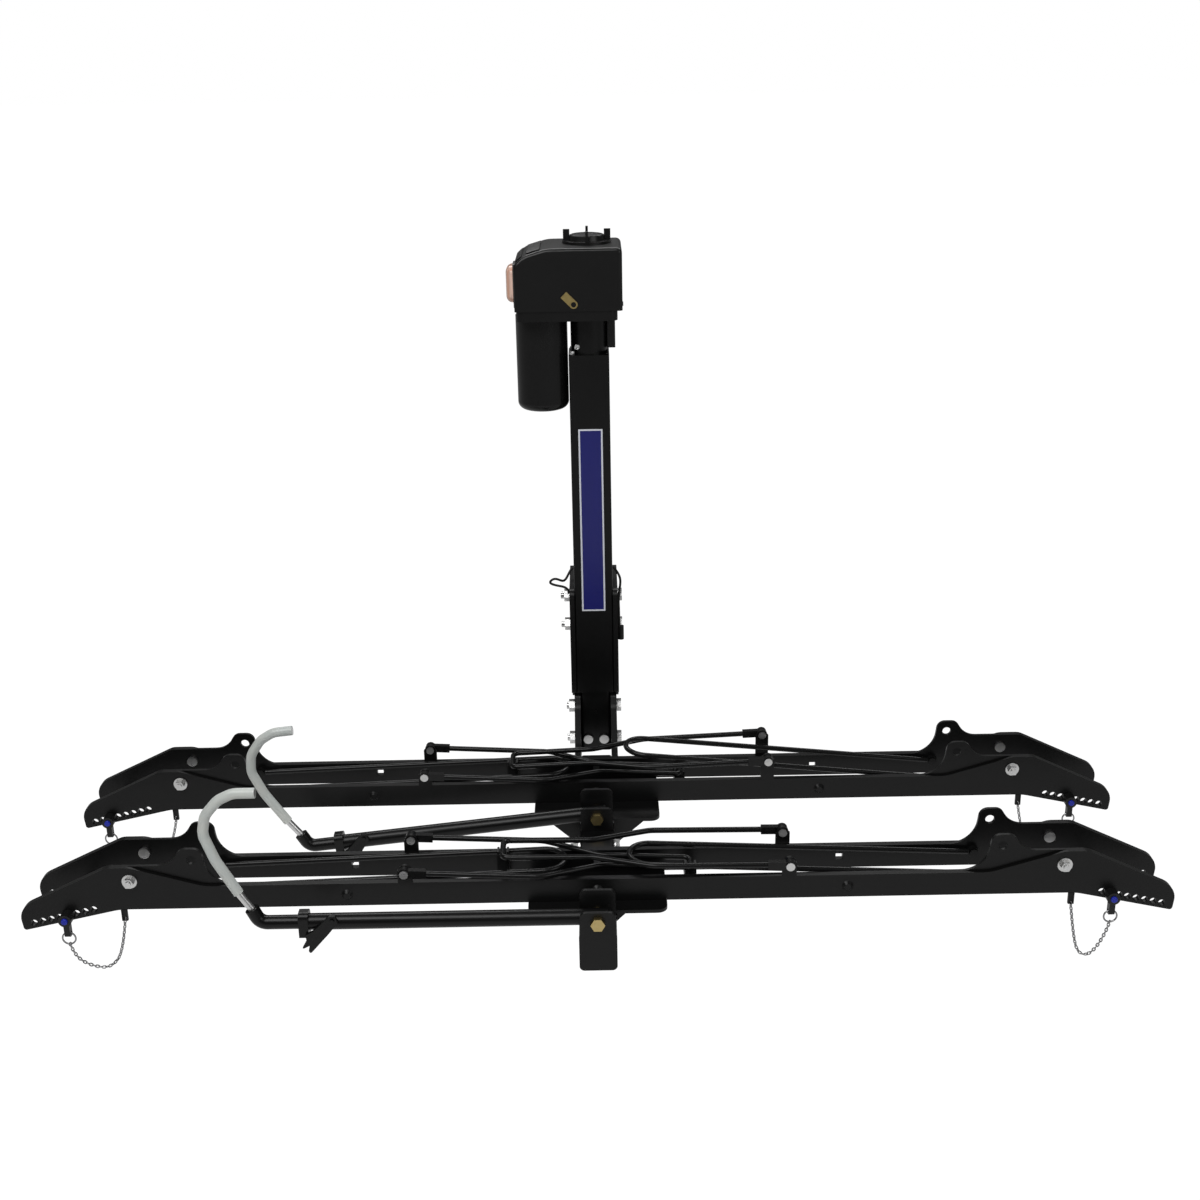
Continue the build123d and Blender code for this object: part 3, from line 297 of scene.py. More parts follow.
zinc = metal("zinc_plate", (0.55, 0.56, 0.58, 1.0), (0.74, 0.73, 0.70, 1.0), 0.3)
yellow_zinc = metal("yellow_zinc", (0.42, 0.31, 0.12, 1.0), (0.62, 0.50, 0.24, 1.0), 0.34)
brass = metal("brass_plate", (0.40, 0.29, 0.11, 1.0), (0.58, 0.46, 0.20, 1.0), 0.36)
bright_steel = metal("chain_steel", (0.2, 0.2, 0.21, 1.0), (0.42, 0.42, 0.42, 1.0), 0.3)
greased_steel = metal("screw_steel", (0.2, 0.19, 0.17, 1.0), (0.42, 0.41, 0.38, 1.0), 0.3, 0.1)
print("metals", [m.name for m in (zinc, yellow_zinc, brass, bright_steel, greased_steel)])


# %% [markdown]
# ## Dressing the CAD nodes
# A CAD node whose shape is right keeps its mesh and only gets a better material. The calls below
# say which finish each family of nodes wears. Only the chains are left over, because new pieces
# take their place further down.

# %% Finishes for the CAD nodes
dressed = set()


def dress(names, material):
    for name in names:
        mesh = nodes[name].data
        mesh.materials.clear()
        mesh.materials.append(material)
    dressed.update(names)


TRAYS = ("front", "rear")
SIDES = ("left", "right")
CORNERS = [f"{tray}_{side}" for tray in TRAYS for side in SIDES]
dress(["mast_tube", "hitch_bar", "jack_tube", "carriage_tube", "cross_beam", "beam_cap"], coats["tube"])
dress([f"{tray}_arm_tube" for tray in TRAYS], coats["tube"])
dress([f"{tray}_{kind}_plates" for tray in TRAYS for kind in ("inner", "outer")], coats["plate"])
dress(["clamp_plates", "beam_side_plates", "support_plates"], coats["plate"])
dress(["arm_brackets", "head_base", "wall_bolts"], coats["plate"])
dress([f"{tray}_cam_lever" for tray in TRAYS], coats["plate"])
dress([f"{corner}_{kind}_hoop" for corner in CORNERS for kind in ("knuckle", "loop")], coats["rod"])
dress(["motor_can"], coats["rod"])
dress(["head_cover", "crank_cap"], cover_black)
dress(["power_socket", "light_base", "mast_pads", "carriage_pads", "hoop_clips"], trim_black)
dress(["bracket_cable"], rubber_black)
dress(["light_lens"], lens_clear)
dress(["lock_tab", "lift_nut"], brass)
dress(["hitch_bolts", "carriage_bolts", "tray_bolts"], zinc)
dress(["arm_bolts"], yellow_zinc)
dress([f"{tray}_hook_rod" for tray in TRAYS], zinc)
dress([f"{tray}_hook_sleeve" for tray in TRAYS], sleeve_vinyl)
dress(["lead_screw"], greased_steel)
dress([f"{corner}_pin" for corner in CORNERS], trim_black)
dress([f"{corner}_button" for corner in CORNERS], button_blue)
print(len(dressed), "nodes dressed, left over:", sorted(set(nodes) - dressed))


# %% [markdown]
# ## Two finishes on one node
# Some nodes are made of two pieces. A pin carries a bright split ring, and each hook's inner tube is
# black while the bent rod that leaves it is plated. The mesh stays as it is, and only the material
# index of the faces in question changes. Which faces these are is a rule about their centres.

# %% The split rings' faces
def second_finish(name, material, chosen):
    mesh = nodes[name].data
    mesh.materials.append(material)
    count = 0
    for face in mesh.polygons:
        if chosen(face.center):
            face.material_index = 1
            count += 1
    print(name, "second finish on", count, "faces")


RING_RADIUS = 0.009
RING_UP = 0.0012
RING_NEAR = 0.0014
# The ring's middle lies this far behind the front of the pin's box
RING_FRONT = 0.008


def ring_rule(pin):
    """True for the points near the circle of one pin's split ring."""
    low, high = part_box(pin)
    ring_x = (low.x + high.x) / 2
    ring_y = low.y + RING_FRONT
    ring_z = low.z + RING_RADIUS + RING_UP

    def on_ring(point):
        reach = math.hypot(point.x - ring_x, point.z - ring_z)
        return abs(reach - RING_RADIUS) < RING_NEAR and abs(point.y - ring_y) < RING_NEAR

    return on_ring


for corner in CORNERS:
    second_finish(f"{corner}_pin", bright_steel, ring_rule(f"{corner}_pin"))

# %% The inner tubes' faces
ARM_PIVOT_Z = -0.082
TILT = {"front": 0.0, "rear": math.radians(-6.2)}
# The black inner tube ends square to its bend, this far out along the arm and above its axis
TUBE_END = {"front": 0.4575, "rear": 0.4455}
TUBE_END_UP = 0.021
TUBE_END_NORMAL = (0.412, 0.911)
TUBE_END_SLACK = 0.0005


def tube_rule(tray):
    """True for the points of one arm's inner tube, up to its cut end."""
    along = Vector((-math.cos(TILT[tray]), 0.0, math.sin(TILT[tray])))
    across = Vector((math.sin(TILT[tray]), 0.0, math.cos(TILT[tray])))

    def in_tube(point):
        from_pivot = Vector((point.x, 0.0, point.z - ARM_PIVOT_Z))
        out = from_pivot.dot(along) - TUBE_END[tray]
        up = from_pivot.dot(across) - TUBE_END_UP
        return out * TUBE_END_NORMAL[0] + up * TUBE_END_NORMAL[1] < TUBE_END_SLACK

    return in_tube


for tray in TRAYS:
    second_finish(f"{tray}_hook_rod", coats["tube"], tube_rule(tray))


# %% [markdown]
# ## Modelling tools
# New pieces are made the way they would be by hand: a primitive at its size and place, shaped in
# edit mode. Operators act on everything that is selected, so each piece starts from a clean
# selection, and its faces are picked in code by their place or their normal.

# %% New primitives
def start_clean():
    if bpy.context.object and bpy.context.object.mode != "OBJECT":
        bpy.ops.object.mode_set(mode="OBJECT")
    bpy.ops.object.select_all(action="DESELECT")


def make_active(piece):
    start_clean()
    piece.select_set(True)
    bpy.context.view_layer.objects.active = piece


def new_box(name, low, high):
    """A cube at its true size and place, selected and active."""
    start_clean()
    centre = [(a + b) / 2 for a, b in zip(low, high)]
    bpy.ops.mesh.primitive_cube_add(size=1.0, location=centre)
    piece = bpy.context.object
    piece.name = name
    piece.scale = [b - a for a, b in zip(low, high)]
    bpy.ops.object.transform_apply(location=True, rotation=True, scale=True)
    return piece


def new_round(name, radius, depth, centre, axis, vertices):
    """A cylinder at its true size and place, along one axis."""
    start_clean()
    turn = {"X": (0.0, math.pi / 2, 0.0), "Y": (math.pi / 2, 0.0, 0.0), "Z": (0.0, 0.0, 0.0)}[axis]
    bpy.ops.mesh.primitive_cylinder_add(vertices=vertices, radius=radius, depth=depth,
                                        location=centre, rotation=turn)
    piece = bpy.context.object
    piece.name = name
    bpy.ops.object.transform_apply(location=True, rotation=True, scale=True)
    return piece


# %% [markdown]
# ## Shaping and handing over
# A bevel of a fraction of a millimetre is what catches the light on an edge. A finished piece gets
# its material and the body that it rides on.

# %% Helpers for shaping and finishing
BEVEL_SEGMENTS = 2
BEVEL_ANGLE = 40.0
SMOOTH_ANGLE = 35
# A face counts as looking along a direction when its normal's share of it is more than this
FACING = 0.9


def pick_faces(piece, chosen):
    """Selects, in edit mode, the faces that the rule picks."""
    bpy.ops.object.mode_set(mode="EDIT")
    bpy.ops.mesh.select_mode(type="FACE")
    bpy.ops.mesh.select_all(action="DESELECT")
    bpy.ops.object.mode_set(mode="OBJECT")
    for face in piece.data.polygons:
        face.select = bool(chosen(face))
    bpy.ops.object.mode_set(mode="EDIT")


def press_in(inset, depth):
    """Insets the picked faces, presses their middles in, and leaves edit mode."""
    bpy.ops.mesh.inset(thickness=inset, depth=0.0)
    bpy.ops.mesh.extrude_region_shrink_fatten(TRANSFORM_OT_shrink_fatten={"value": -depth})
    bpy.ops.object.mode_set(mode="OBJECT")


def soften(piece, width):
    """Rounds the sharp edges with an applied bevel, and shades the piece by angle."""
    bevel = piece.modifiers.new("soft_edges", "BEVEL")
    bevel.width = width
    bevel.segments = BEVEL_SEGMENTS
    bevel.limit_method = "ANGLE"
    bevel.angle_limit = math.radians(BEVEL_ANGLE)
    make_active(piece)
    bpy.ops.object.modifier_apply(modifier=bevel.name)
    bpy.ops.object.shade_smooth_by_angle(angle=math.radians(SMOOTH_ANGLE))
    return piece


def finish_piece(piece, body, material=None):
    """Gives a finished piece its material and the body that it rides on."""
    start_clean()
    if material:
        piece.data.materials.append(material)
    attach(piece, body)


def joined(name, pieces):
    """Several modelled pieces as one object."""
    start_clean()
    for piece in pieces:
        piece.select_set(True)
    bpy.context.view_layer.objects.active = pieces[0]
    bpy.ops.object.join()
    whole = bpy.context.object
    whole.name = name
    return whole


# %% [markdown]
# ## The sticker
# A tall plain blue sticker with a white border runs down the front of the mast. It is a thin plate
# lying on the tube: the front face is inset once, so the border is real geometry and stays sharp at
# any size, and the inner face takes the blue.

# %% Sticker on the mast
STICKER_WIDTH = 0.0385
STICKER_LOW = 0.114
STICKER_HIGH = 0.422
STICKER_BORDER = 0.0026
STICKER_THICKNESS = 0.0003
STICKER_WHITE = (0.72, 0.74, 0.80, 1.0)
STICKER_BLUE = (0.004, 0.006, 0.14, 1.0)
FILM_SHADE = 0.86
FILM_SWING = 0.1
mast_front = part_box("mast_tube")[0].y


def printed(name, colour, rough):
    """A printed vinyl film, with faint streaks from the press."""
    film = Finish(name)
    streak = film.noise(scale=90.0, detail=3.0, roughness=0.6, place=film.stretched(1.0, 1.0, 0.15))
    darker = tuple(c * FILM_SHADE for c in colour[:3]) + (1.0,)
    film.set(Base_Color=film.mix(streak, darker, colour), Roughness=streak.around(rough, FILM_SWING))
    film.bump(streak, strength=0.04, distance=0.0002)
    return film.material


sticker = new_box("mast_sticker", (-STICKER_WIDTH / 2, mast_front - STICKER_THICKNESS, STICKER_LOW),
                  (STICKER_WIDTH / 2, mast_front, STICKER_HIGH))
sticker.data.materials.append(printed("sticker_white", STICKER_WHITE, 0.35))
sticker.data.materials.append(printed("sticker_blue", STICKER_BLUE, 0.3))
pick_faces(sticker, lambda face: face.normal.y < -FACING)
bpy.ops.mesh.inset(thickness=STICKER_BORDER, depth=0.0)
bpy.context.object.active_material_index = 1
bpy.ops.object.material_slot_assign()
bpy.ops.object.mode_set(mode="OBJECT")
finish_piece(sticker, "mast")
print("sticker", [round(v * 1000, 1) for v in sticker.dimensions], "mm")


# %% [markdown]
# ## The head's shoulder plates of painted shade
# Two dark plates on the rounded shoulder of the cover are painted shade: they stand in for the shade in
# a slot there.
# Each is a thin plate: a small grid is pressed on to the cover, so that it follows the curve, and then
# gets its thickness and a bevel.

# %% Shoulder plates of painted shade
cover_low, cover_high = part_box("head_cover")
# The stud of the lock tab stands out from the cover's front by this much
STUD_OUT = 0.003
cover_front = cover_low.y + STUD_OUT
cover_middle = (cover_front + cover_high.y) / 2
SHADE_SHEET_DEPTH = 0.094
SHADE_SHEET_RAISE = 0.0004
SHADE_SHEET_START = 0.004
SHADE_SHEET_THICKNESS = 0.0012
SHADE_SHEET_EDGE = 0.0004
# Each plate of painted shade: its centre in from the cover's left and top, its slope in degrees and its
# length
SHADE_SHEETS = ((0.0078, 0.0165, 41.0, 0.013), (0.0300, 0.0060, 17.0, 0.022))


def shoulder_shade_sheet(name, inward, downward, slope, length):
    """A thin plate of painted shade laid on the shoulder: a grid pressed on to the cover, then given
    its thickness.
    """
    start_clean()
    angle = math.radians(-slope)
    out = Vector((math.sin(angle), 0.0, math.cos(angle)))
    on_cover = Vector((cover_low.x + inward, cover_middle, cover_high.z - downward))
    bpy.ops.mesh.primitive_grid_add(x_subdivisions=14, y_subdivisions=3, size=1.0,
                                    location=on_cover + out * SHADE_SHEET_START, rotation=(0.0, angle, 0.0))
    shade_sheet = bpy.context.object
    shade_sheet.name = name
    shade_sheet.scale = (length, SHADE_SHEET_DEPTH, 1.0)
    bpy.ops.object.transform_apply(location=False, rotation=False, scale=True)
    press = shade_sheet.modifiers.new("press", "SHRINKWRAP")
    press.target = nodes["head_cover"]
    press.wrap_method = "PROJECT"
    press.use_project_z = True
    press.use_positive_direction = False
    press.use_negative_direction = True
    press.offset = SHADE_SHEET_RAISE
    bpy.ops.object.modifier_apply(modifier=press.name)
    bpy.ops.object.transform_apply(location=True, rotation=True, scale=True)
    thickness = shade_sheet.modifiers.new("thickness", "SOLIDIFY")
    thickness.thickness = SHADE_SHEET_THICKNESS
    thickness.offset = 1.0
    bpy.ops.object.modifier_apply(modifier=thickness.name)
    return soften(shade_sheet, SHADE_SHEET_EDGE)


for number, (inward, downward, slope, length) in enumerate(SHADE_SHEETS, start=1):
    shade_sheet = shoulder_shade_sheet(f"shoulder_shade_sheet_{number}", inward, downward, slope, length)
    # The darkest, dullest coat makes this plate painted shade
    finish_piece(shade_sheet, "mast", coats["dark"])
    print(shade_sheet.name, [round(v * 1000, 1) for v in shade_sheet.dimensions], "mm")


# %% [markdown]
# ## Cover screws and the cap's grip ring
# Four screws hold the cover, two on each side. A screw head is a disc whose flat faces are inset and
# pressed in, then bevelled so that it catches a thin line of light. The cap has a raised grip ring.

# %% Cover screws
HEAD_VERTICES = 24
DRIVER_INSET = 0.45
DRIVER_DEPTH = 0.35
HEAD_EDGE = 0.15
SCREW_RADIUS = 0.0035
SCREW_HEIGHT = 0.0024
SCREW_UP = 0.008
SCREW_SPREAD = 0.044


def round_head(name, radius, height, centre, axis, material, body):
    """A screw head. Its recess and its bevel are shares of its radius and height."""
    head = new_round(name, radius, height, centre, axis, HEAD_VERTICES)
    direction = {"X": Vector((1, 0, 0)), "Y": Vector((0, 1, 0))}[axis]
    pick_faces(head, lambda face: abs(face.normal.dot(direction)) > FACING)
    press_in(radius * DRIVER_INSET, height * DRIVER_DEPTH)
    soften(head, radius * HEAD_EDGE)
    finish_piece(head, body, material)


for side, x in (("left", cover_low.x), ("right", cover_high.x)):
    for number, offset in enumerate((-SCREW_SPREAD, SCREW_SPREAD), start=1):
        place = (x, cover_middle + offset, cover_low.z + SCREW_UP)
        round_head(f"cover_screw_{side}_{number}", SCREW_RADIUS, SCREW_HEIGHT, place, "X",
                   coats["dark"], "mast")
print("four cover screws")

# %% Grip ring of the cap
GRIP_RADIUS = 0.0245
GRIP_WIRE = 0.0012
GRIP_UP = 0.011
cap_low, cap_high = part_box("crank_cap")
cap_x = (cap_low.x + cap_high.x) / 2
cap_y = (cap_low.y + cap_high.y) / 2
start_clean()
bpy.ops.mesh.primitive_torus_add(major_radius=GRIP_RADIUS, minor_radius=GRIP_WIRE,
                                 major_segments=56, minor_segments=8,
                                 location=(cap_x, cap_y, cap_low.z + GRIP_UP))
grip_ring = bpy.context.object
grip_ring.name = "cap_grip_ring"
bpy.ops.object.transform_apply(location=True, rotation=True, scale=True)
bpy.ops.object.shade_smooth()
finish_piece(grip_ring, "crank_cap", trim_black)
print("grip ring", round(GRIP_RADIUS * 2000, 1), "mm across")


# %% [markdown]
# ## Safety chains
# Each pin hangs on a light chain that swings from the split ring to a clip under the tray. In the
# CAD model the chain is a plain tube. Here it is real links: one link is a torus stretched into an
# oval, then copied along the same route, with every second link turned a quarter round. The chain
# hangs in a sag between the tray and its pin, which pulls out.

# %% One link
LINK_LENGTH = 0.0068
LINK_WIDTH = 0.0052
LINK_WIRE = 0.0009
LINK_PITCH = LINK_LENGTH - 2.6 * LINK_WIRE
LINK_MIDDLE = 1e-6


def chain_link():
    """One link at the origin, long along X. Vertices on its middle line stay where they are."""
    start_clean()
    bpy.ops.mesh.primitive_torus_add(major_radius=LINK_WIDTH / 2 - LINK_WIRE, minor_radius=LINK_WIRE,
                                     major_segments=16, minor_segments=6)
    link = bpy.context.object
    bpy.ops.object.mode_set(mode="EDIT")
    bpy.ops.mesh.select_all(action="SELECT")
    bpy.ops.mesh.normals_make_consistent(inside=False)
    bpy.ops.object.mode_set(mode="OBJECT")
    straight = (LINK_LENGTH - LINK_WIDTH) / 2
    for vertex in link.data.vertices:
        if abs(vertex.co.x) > LINK_MIDDLE:
            vertex.co.x += math.copysign(straight, vertex.co.x)
    bpy.ops.object.shade_smooth()
    link.data.materials.append(bright_steel)
    return link


link = chain_link()
print("one link", round(LINK_LENGTH * 1000, 1), "mm long, at every", round(LINK_PITCH * 1000, 2), "mm")


# %% [markdown]
# ## How a chain hangs
# The route starts at the ring, sags to its lowest point and rises to the clip. A pin that stands
# nearer to the clip leaves more slack, so its chain hangs lower.

# %% The route of a chain
CLIP_X = 0.650
CLIP_REACH = 0.0425
CLIP_TOP = -0.0995
CLIP_EYE = 0.0145
CHAIN_SPAN = 0.082
CHAIN_LOW = -0.188
CHAIN_DROP = 0.33


def chain_ends(corner, sign, tray_y):
    """Where one chain hangs: its ring on the pin and its clip under the tray."""
    low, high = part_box(f"{corner}_pin")
    ring = Vector(((low.x + high.x) / 2, low.y + RING_FRONT, low.z))
    clip = Vector((sign * CLIP_X, tray_y - CLIP_REACH, CLIP_TOP - CLIP_EYE))
    return ring, clip


def chain_route(sign, ring, clip, tray_y):
    """Points along the hanging chain, from the ring to the clip, read from a smooth curve."""
    reach = abs(ring.x) - CLIP_X
    lowest = CHAIN_LOW + (reach - CHAIN_SPAN) * CHAIN_DROP
    # Listed points: two at the ring, three on the way down and along the sag, two at the clip
    control = [(ring.x, ring.y, ring.z + 0.003),
               (ring.x - sign * 0.001, ring.y, ring.z - 0.006),
               (ring.x - sign * 0.010, ring.y + 0.002, (ring.z + lowest) / 2 - 0.006),
               (sign * (CLIP_X + 0.60 * reach), tray_y - 0.0485, lowest + 0.002),
               (sign * (CLIP_X + 0.34 * reach), tray_y - 0.047, lowest + 0.001),
               (clip.x + sign * 0.009, clip.y, lowest + 0.022),
               (clip.x, clip.y, clip.z)]
    curve = bpy.data.curves.new("route", "CURVE")
    curve.dimensions = "3D"
    curve.resolution_u = 24
    spline = curve.splines.new("NURBS")
    spline.points.add(len(control) - 1)
    for point, (x, y, z) in zip(spline.points, control):
        point.co = (x, y, z, 1.0)
    spline.order_u = 3
    spline.use_endpoint_u = True
    holder = bpy.data.objects.new("route", curve)
    bpy.context.scene.collection.objects.link(holder)
    line = bpy.data.meshes.new_from_object(holder)
    points = [v.co.copy() for v in line.vertices]
    bpy.data.objects.remove(holder)
    bpy.data.meshes.remove(line)
    return points


def evenly_spaced(points, pitch):
    """Places and directions a pitch apart along a line of points, and the line's length."""
    places = []
    travelled = 0.0
    wanted = pitch / 2
    for a, b in zip(points, points[1:]):
        step = (b - a).length
        while step > 0 and wanted <= travelled + step:
            places.append((a.lerp(b, (wanted - travelled) / step), (b - a).normalized()))
            wanted += pitch
        travelled += step
    return places, travelled


# %% [markdown]
# ## Links along the route
# Each chain is joined into one piece, which stands for its part of the CAD tube. The clip at its
# end is a small block whose front and back are pressed in, and it stays with the tray.

# %% The four chains and their clips
LINK_TURN = 45
CLIP_HEIGHT = 0.0178
CLIP_HALF_WIDTH = 0.0042
CLIP_HALF_DEPTH = 0.0022
CLIP_RIM = 0.0017
CLIP_RECESS = 0.0012
CLIP_EDGE = 0.0005


def linked_chain(name, places):
    """Copies of the link at every place, each turned a quarter round against the last."""
    links = []
    for number, (place, direction) in enumerate(places):
        copy = link.copy()
        copy.data = link.data.copy()
        bpy.context.scene.collection.objects.link(copy)
        turn = Vector((1, 0, 0)).rotation_difference(direction).to_matrix().to_4x4()
        roll = Matrix.Rotation(math.radians(LINK_TURN + 90 * (number % 2)), 4, "X")
        copy.data.transform(Matrix.Translation(place) @ turn @ roll)
        links.append(copy)
    return joined(name, links)


def chain_clip(name, eye):
    """The block that the chain's last link goes into."""
    clip = new_box(name, (eye.x - CLIP_HALF_WIDTH, eye.y - CLIP_HALF_DEPTH, CLIP_TOP - CLIP_HEIGHT),
                   (eye.x + CLIP_HALF_WIDTH, eye.y + CLIP_HALF_DEPTH, CLIP_TOP))
    pick_faces(clip, lambda face: abs(face.normal.y) > FACING)
    press_in(CLIP_RIM, CLIP_RECESS)
    soften(clip, CLIP_EDGE)
    clip.data.materials.append(coats["plate"])
    return clip


for tray in TRAYS:
    tray_low, tray_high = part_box(f"{tray}_outer_plates")
    tray_y = (tray_low.y + tray_high.y) / 2
    for side, sign in (("left", -1), ("right", 1)):
        ring_point, clip_point = chain_ends(f"{tray}_{side}", sign, tray_y)
        route = chain_route(sign, ring_point, clip_point, tray_y)
        places, length = evenly_spaced(route, LINK_PITCH)
        chain = linked_chain(f"{tray}_{side}_chain", places)
        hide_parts("pin_chains")
        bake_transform(chain)
        clip = chain_clip(f"{tray}_{side}_chain_clip", clip_point)
        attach(clip, "carriage")
        print(chain.name, len(places), "links,", round(length * 1000), "mm")
start_clean()
bpy.data.objects.remove(link)


# %% [markdown]
# ## Welds
# A drawing leaves these out, and they are what makes a welded steel part look made: the plates meet
# the tubes in small rippled beads.

# %% A weld bead
BEAD_VERTICES = 10
RIPPLE_PITCH = 0.0035
RIPPLE_SWELL = 0.16


def weld_bead(name, start, end, radius, body):
    """A bead: a thin rod, cut along its length and swelled in ripples."""
    start, end = Vector(start), Vector(end)
    length = (end - start).length
    ripples = max(4, round(length / RIPPLE_PITCH))
    bead = new_round(name, radius, length, (0, 0, 0), "X", BEAD_VERTICES)
    bpy.ops.object.mode_set(mode="EDIT")
    bpy.ops.mesh.select_all(action="SELECT")
    bpy.ops.mesh.subdivide(number_cuts=2)
    for cut in range(1, ripples * 2):
        x = -length / 2 + length * cut / (ripples * 2)
        bpy.ops.mesh.select_all(action="SELECT")
        bpy.ops.mesh.bisect(plane_co=(x, 0, 0), plane_no=(1, 0, 0))
    bpy.ops.object.mode_set(mode="OBJECT")
    for vertex in bead.data.vertices:
        ripple = 2 * math.pi * ripples * (vertex.co.x / length + 0.5)
        swell = 1.0 + RIPPLE_SWELL * math.cos(ripple)
        vertex.co.y *= swell
        vertex.co.z *= swell
    turn = Vector((1, 0, 0)).rotation_difference((end - start).normalized()).to_matrix().to_4x4()
    bead.data.transform(Matrix.Translation((start + end) / 2) @ turn)
    make_active(bead)
    bpy.ops.object.shade_smooth()
    finish_piece(bead, body, coats["tube"])
    print(name, ripples, "ripples")


# %% [markdown]
# ## Where the beads lie
# One lies across the beam at each arm bracket, two along the beam's sides at the front support, and
# two on the jack tube's flange, left and right.

# %% The six beads
BEAM_TOP = -0.104
BEAM_HALF = 0.0254
BEAM_BEAD = 0.0026
BEAM_WELD_Z = BEAM_TOP - 0.001
BEAM_WELD_Y = (-0.9145, -0.799)
BRACKET_HALF = 0.022
BRACKET_BEAD = 0.0022
BRACKET_WELD_Z = BEAM_TOP + 0.001
BRACKET_WELD_Y = {"front": -0.9703, "rear": -0.6797}
FLANGE_BEAD = 0.0018
FLANGE_WELD_X = 0.0285
FLANGE_WELD_Y = (-0.328, -0.272)
FLANGE_WELD_Z = 0.5412

for tray, y in BRACKET_WELD_Y.items():
    weld_bead(f"{tray}_bracket_weld", (-BRACKET_HALF, y, BRACKET_WELD_Z),
              (BRACKET_HALF, y, BRACKET_WELD_Z), BRACKET_BEAD, "carriage")
for name, side in (("left", -1), ("right", 1)):
    beam_x = side * BEAM_HALF
    weld_bead(f"beam_{name}_weld", (beam_x, BEAM_WELD_Y[0], BEAM_WELD_Z),
              (beam_x, BEAM_WELD_Y[1], BEAM_WELD_Z), BEAM_BEAD, "carriage")
    flange_x = side * FLANGE_WELD_X
    weld_bead(f"flange_{name}_weld", (flange_x, FLANGE_WELD_Y[0], FLANGE_WELD_Z),
              (flange_x, FLANGE_WELD_Y[1], FLANGE_WELD_Z), FLANGE_BEAD, "mast")


# %% [markdown]
# ## Fasteners at the foot of the jack tube
# A set screw stands at the front left of the jack tube, and a hexagonal nut on its flange.

# %% Set screw and flange nut
SET_SCREW_RADIUS = 0.0042
SET_SCREW_LENGTH = 0.006
SET_SCREW_PLACE = (-0.0185, -0.3225, 0.552)
FLANGE_TOP = 0.540
NUT_RADIUS = 0.0052
NUT_HEIGHT = 0.006
NUT_EDGE = 0.0005
NUT_PLACE = (-0.0268, -0.3245, FLANGE_TOP + NUT_HEIGHT / 2)
round_head("jack_set_screw", SET_SCREW_RADIUS, SET_SCREW_LENGTH, SET_SCREW_PLACE, "Y", zinc, "mast")
flange_nut = new_round("flange_nut", NUT_RADIUS, NUT_HEIGHT, NUT_PLACE, "Z", 6)
soften(flange_nut, NUT_EDGE)
finish_piece(flange_nut, "mast", zinc)
print("one set screw and one flange nut")


# %% [markdown]
# ## The studio
# The photograph is a cut-out on white, lit softly from above and in front, with thin bright lines
# along the top of each tube. Large area lamps give those lines. The floor is pale and lies below the
# part, and its white comes from its own colour, and from what camera rays see, not from more light.

# %% Floor
FLOOR_SIZE = 60.0
FLOOR_Z = -0.62
PAPER_LEVEL = 0.86
PAPER_ROUGH = 0.9
GLOW_STRENGTH = 1.08
GLOW_SHARE = 0.94
# How much of the glow the reflections on the part see
GLOW_IN_GLOSS = 0.2

start_clean()
bpy.ops.mesh.primitive_plane_add(size=FLOOR_SIZE, location=(0, 0, FLOOR_Z))
floor = bpy.context.object
floor.name = "floor"
paper = Finish("floor_paper")
paper.set(Base_Color=grey(PAPER_LEVEL), Roughness=PAPER_ROUGH)
rays = paper.node("ShaderNodeLightPath")
glossy = rays["Is Glossy Ray"] * GLOW_IN_GLOSS
seen = (rays["Is Camera Ray"] + glossy + rays["Is Transmission Ray"]).clamp()
glow = paper.node("ShaderNodeEmission", None, {"Color": grey(1.0), "Strength": GLOW_STRENGTH})[0]
lit_paper = Value(paper, paper.shader.outputs[0])
surface = paper.node("ShaderNodeMixShader", None, {0: seen * GLOW_SHARE, 1: lit_paper, 2: glow})[0]
paper.feed(paper.tree.nodes["Material Output"].inputs["Surface"], surface)
floor.data.materials.append(paper.material)
print("floor at", FLOOR_Z, "m")

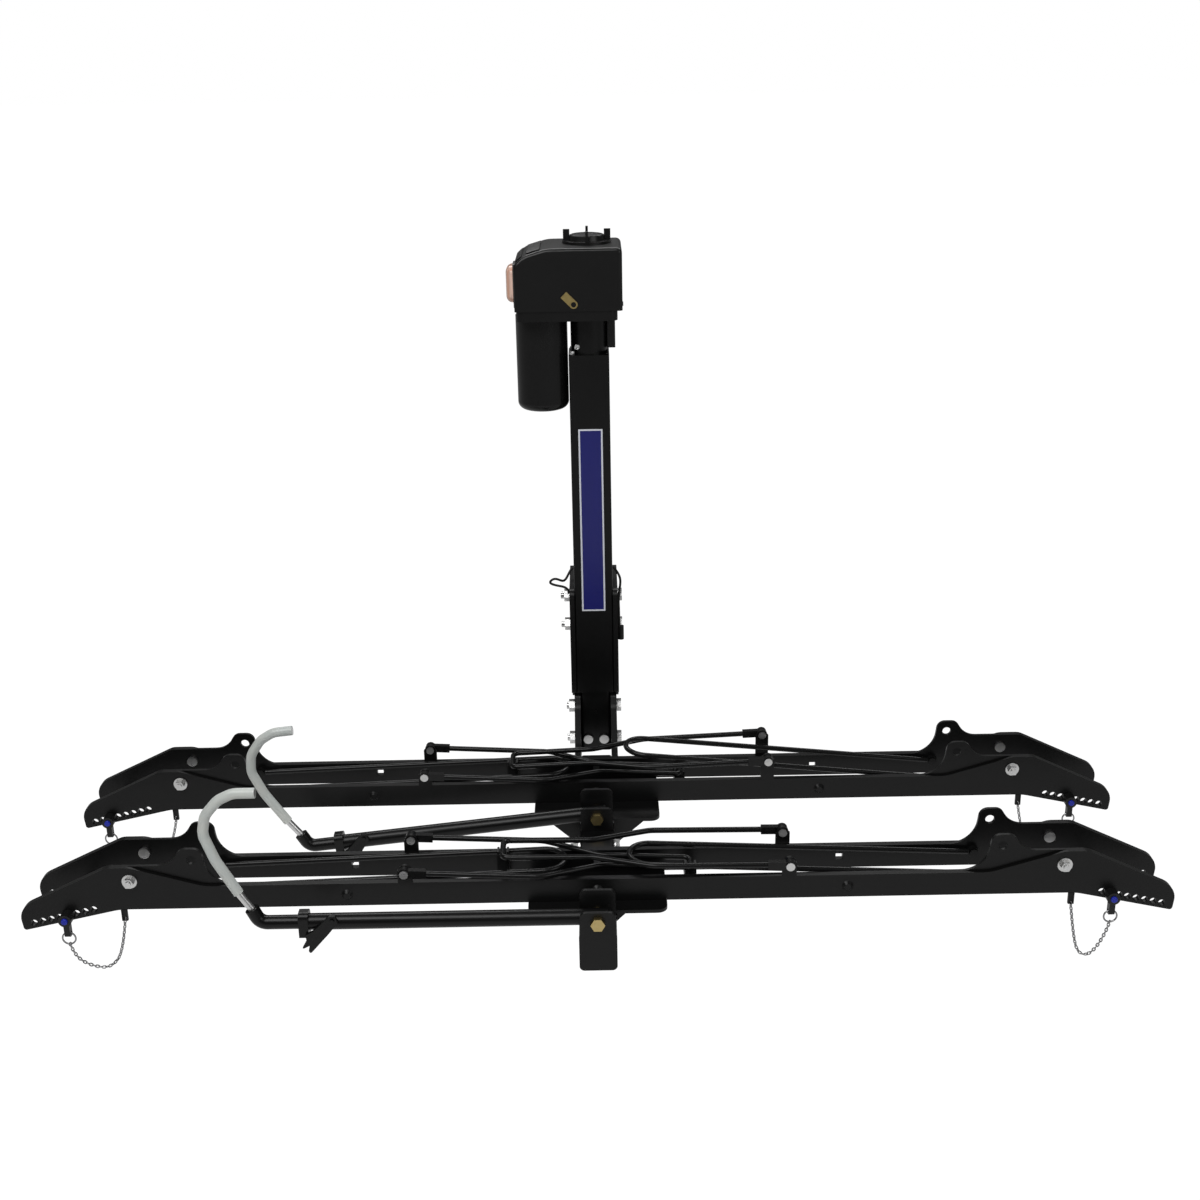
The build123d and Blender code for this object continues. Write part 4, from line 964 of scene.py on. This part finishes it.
# %% World
SKY_STRENGTH = 0.1
BACKDROP_STRENGTH = 1.0
world = bpy.data.worlds.new("studio")
world.use_nodes = True
bpy.context.scene.world = world
world_nodes = world.node_tree.nodes
world_links = world.node_tree.links
sky = world_nodes["Background"]
light_path = world_nodes.new("ShaderNodeLightPath")
white = world_nodes.new("ShaderNodeBackground")
either = world_nodes.new("ShaderNodeMixShader")
sky.inputs["Color"].default_value = grey(1.0)
sky.inputs["Strength"].default_value = SKY_STRENGTH
white.inputs["Color"].default_value = grey(1.0)
white.inputs["Strength"].default_value = BACKDROP_STRENGTH
world_links.new(light_path.outputs["Is Camera Ray"], either.inputs[0])
world_links.new(sky.outputs[0], either.inputs[1])
world_links.new(white.outputs[0], either.inputs[2])
world_links.new(either.outputs[0], world_nodes["World Output"].inputs["Surface"])
print("world", world.name)


# %% [markdown]
# ## The lamps
# A large key lamp stands above on the left, a weak fill on the right, and a long lamp above and
# behind, for the bright lines on top of the tubes. All aim at a point between the two trays.

# %% Lamps
LAMP_TARGET = Vector((0.0, -0.6, 0.1))


def lamp(name, size, energy, place):
    data = bpy.data.lights.new(name, "AREA")
    data.shape = "RECTANGLE"
    data.size, data.size_y = size
    data.energy = energy
    light = bpy.data.objects.new(name, data)
    bpy.context.scene.collection.objects.link(light)
    aim = (LAMP_TARGET - Vector(place)).to_track_quat("-Z", "Y").to_matrix().to_4x4()
    light.matrix_world = Matrix.Translation(place) @ aim
    print("lamp", name, energy, "W")


lamp("key", size=(2.6, 1.4), energy=62.0, place=(-1.0, -2.2, 2.4))
lamp("fill", size=(2.0, 1.6), energy=18.0, place=(2.2, -2.6, 1.4))
lamp("top_back", size=(3.2, 0.8), energy=46.0, place=(0.2, 1.2, 2.2))


# %% [markdown]
# ## The camera
# The photograph was taken from behind the vehicle, a little over a metre above the hitch and about
# 2.8 m away, looking down by some 20 degrees. Its horizon lies near the top edge. The object leans
# about a degree to the left in the frame, so the camera is rolled by as much.

# %% Camera at the photograph's place
FRAME_PIXELS = 1200
FOCAL_PIXELS = 1600.0
SENSOR = 36.0
PITCH = 20.4
ROLL = 1.03
CAMERA_PLACE = (0.0105, -2.803, 1.052)
camera_data = bpy.data.cameras.new("camera")
camera_data.sensor_width = SENSOR
camera_data.lens = FOCAL_PIXELS / FRAME_PIXELS * SENSOR
camera = bpy.data.objects.new("camera", camera_data)
bpy.context.scene.collection.objects.link(camera)
camera.matrix_world = (Matrix.Translation(CAMERA_PLACE)
                       @ Matrix.Rotation(math.radians(90.0 - PITCH), 4, "X")
                       @ Matrix.Rotation(math.radians(-ROLL), 4, "Z"))
bpy.context.scene.camera = camera
bpy.context.scene.view_settings.view_transform = "Standard"
print("camera", round(camera_data.lens, 1), "mm lens")
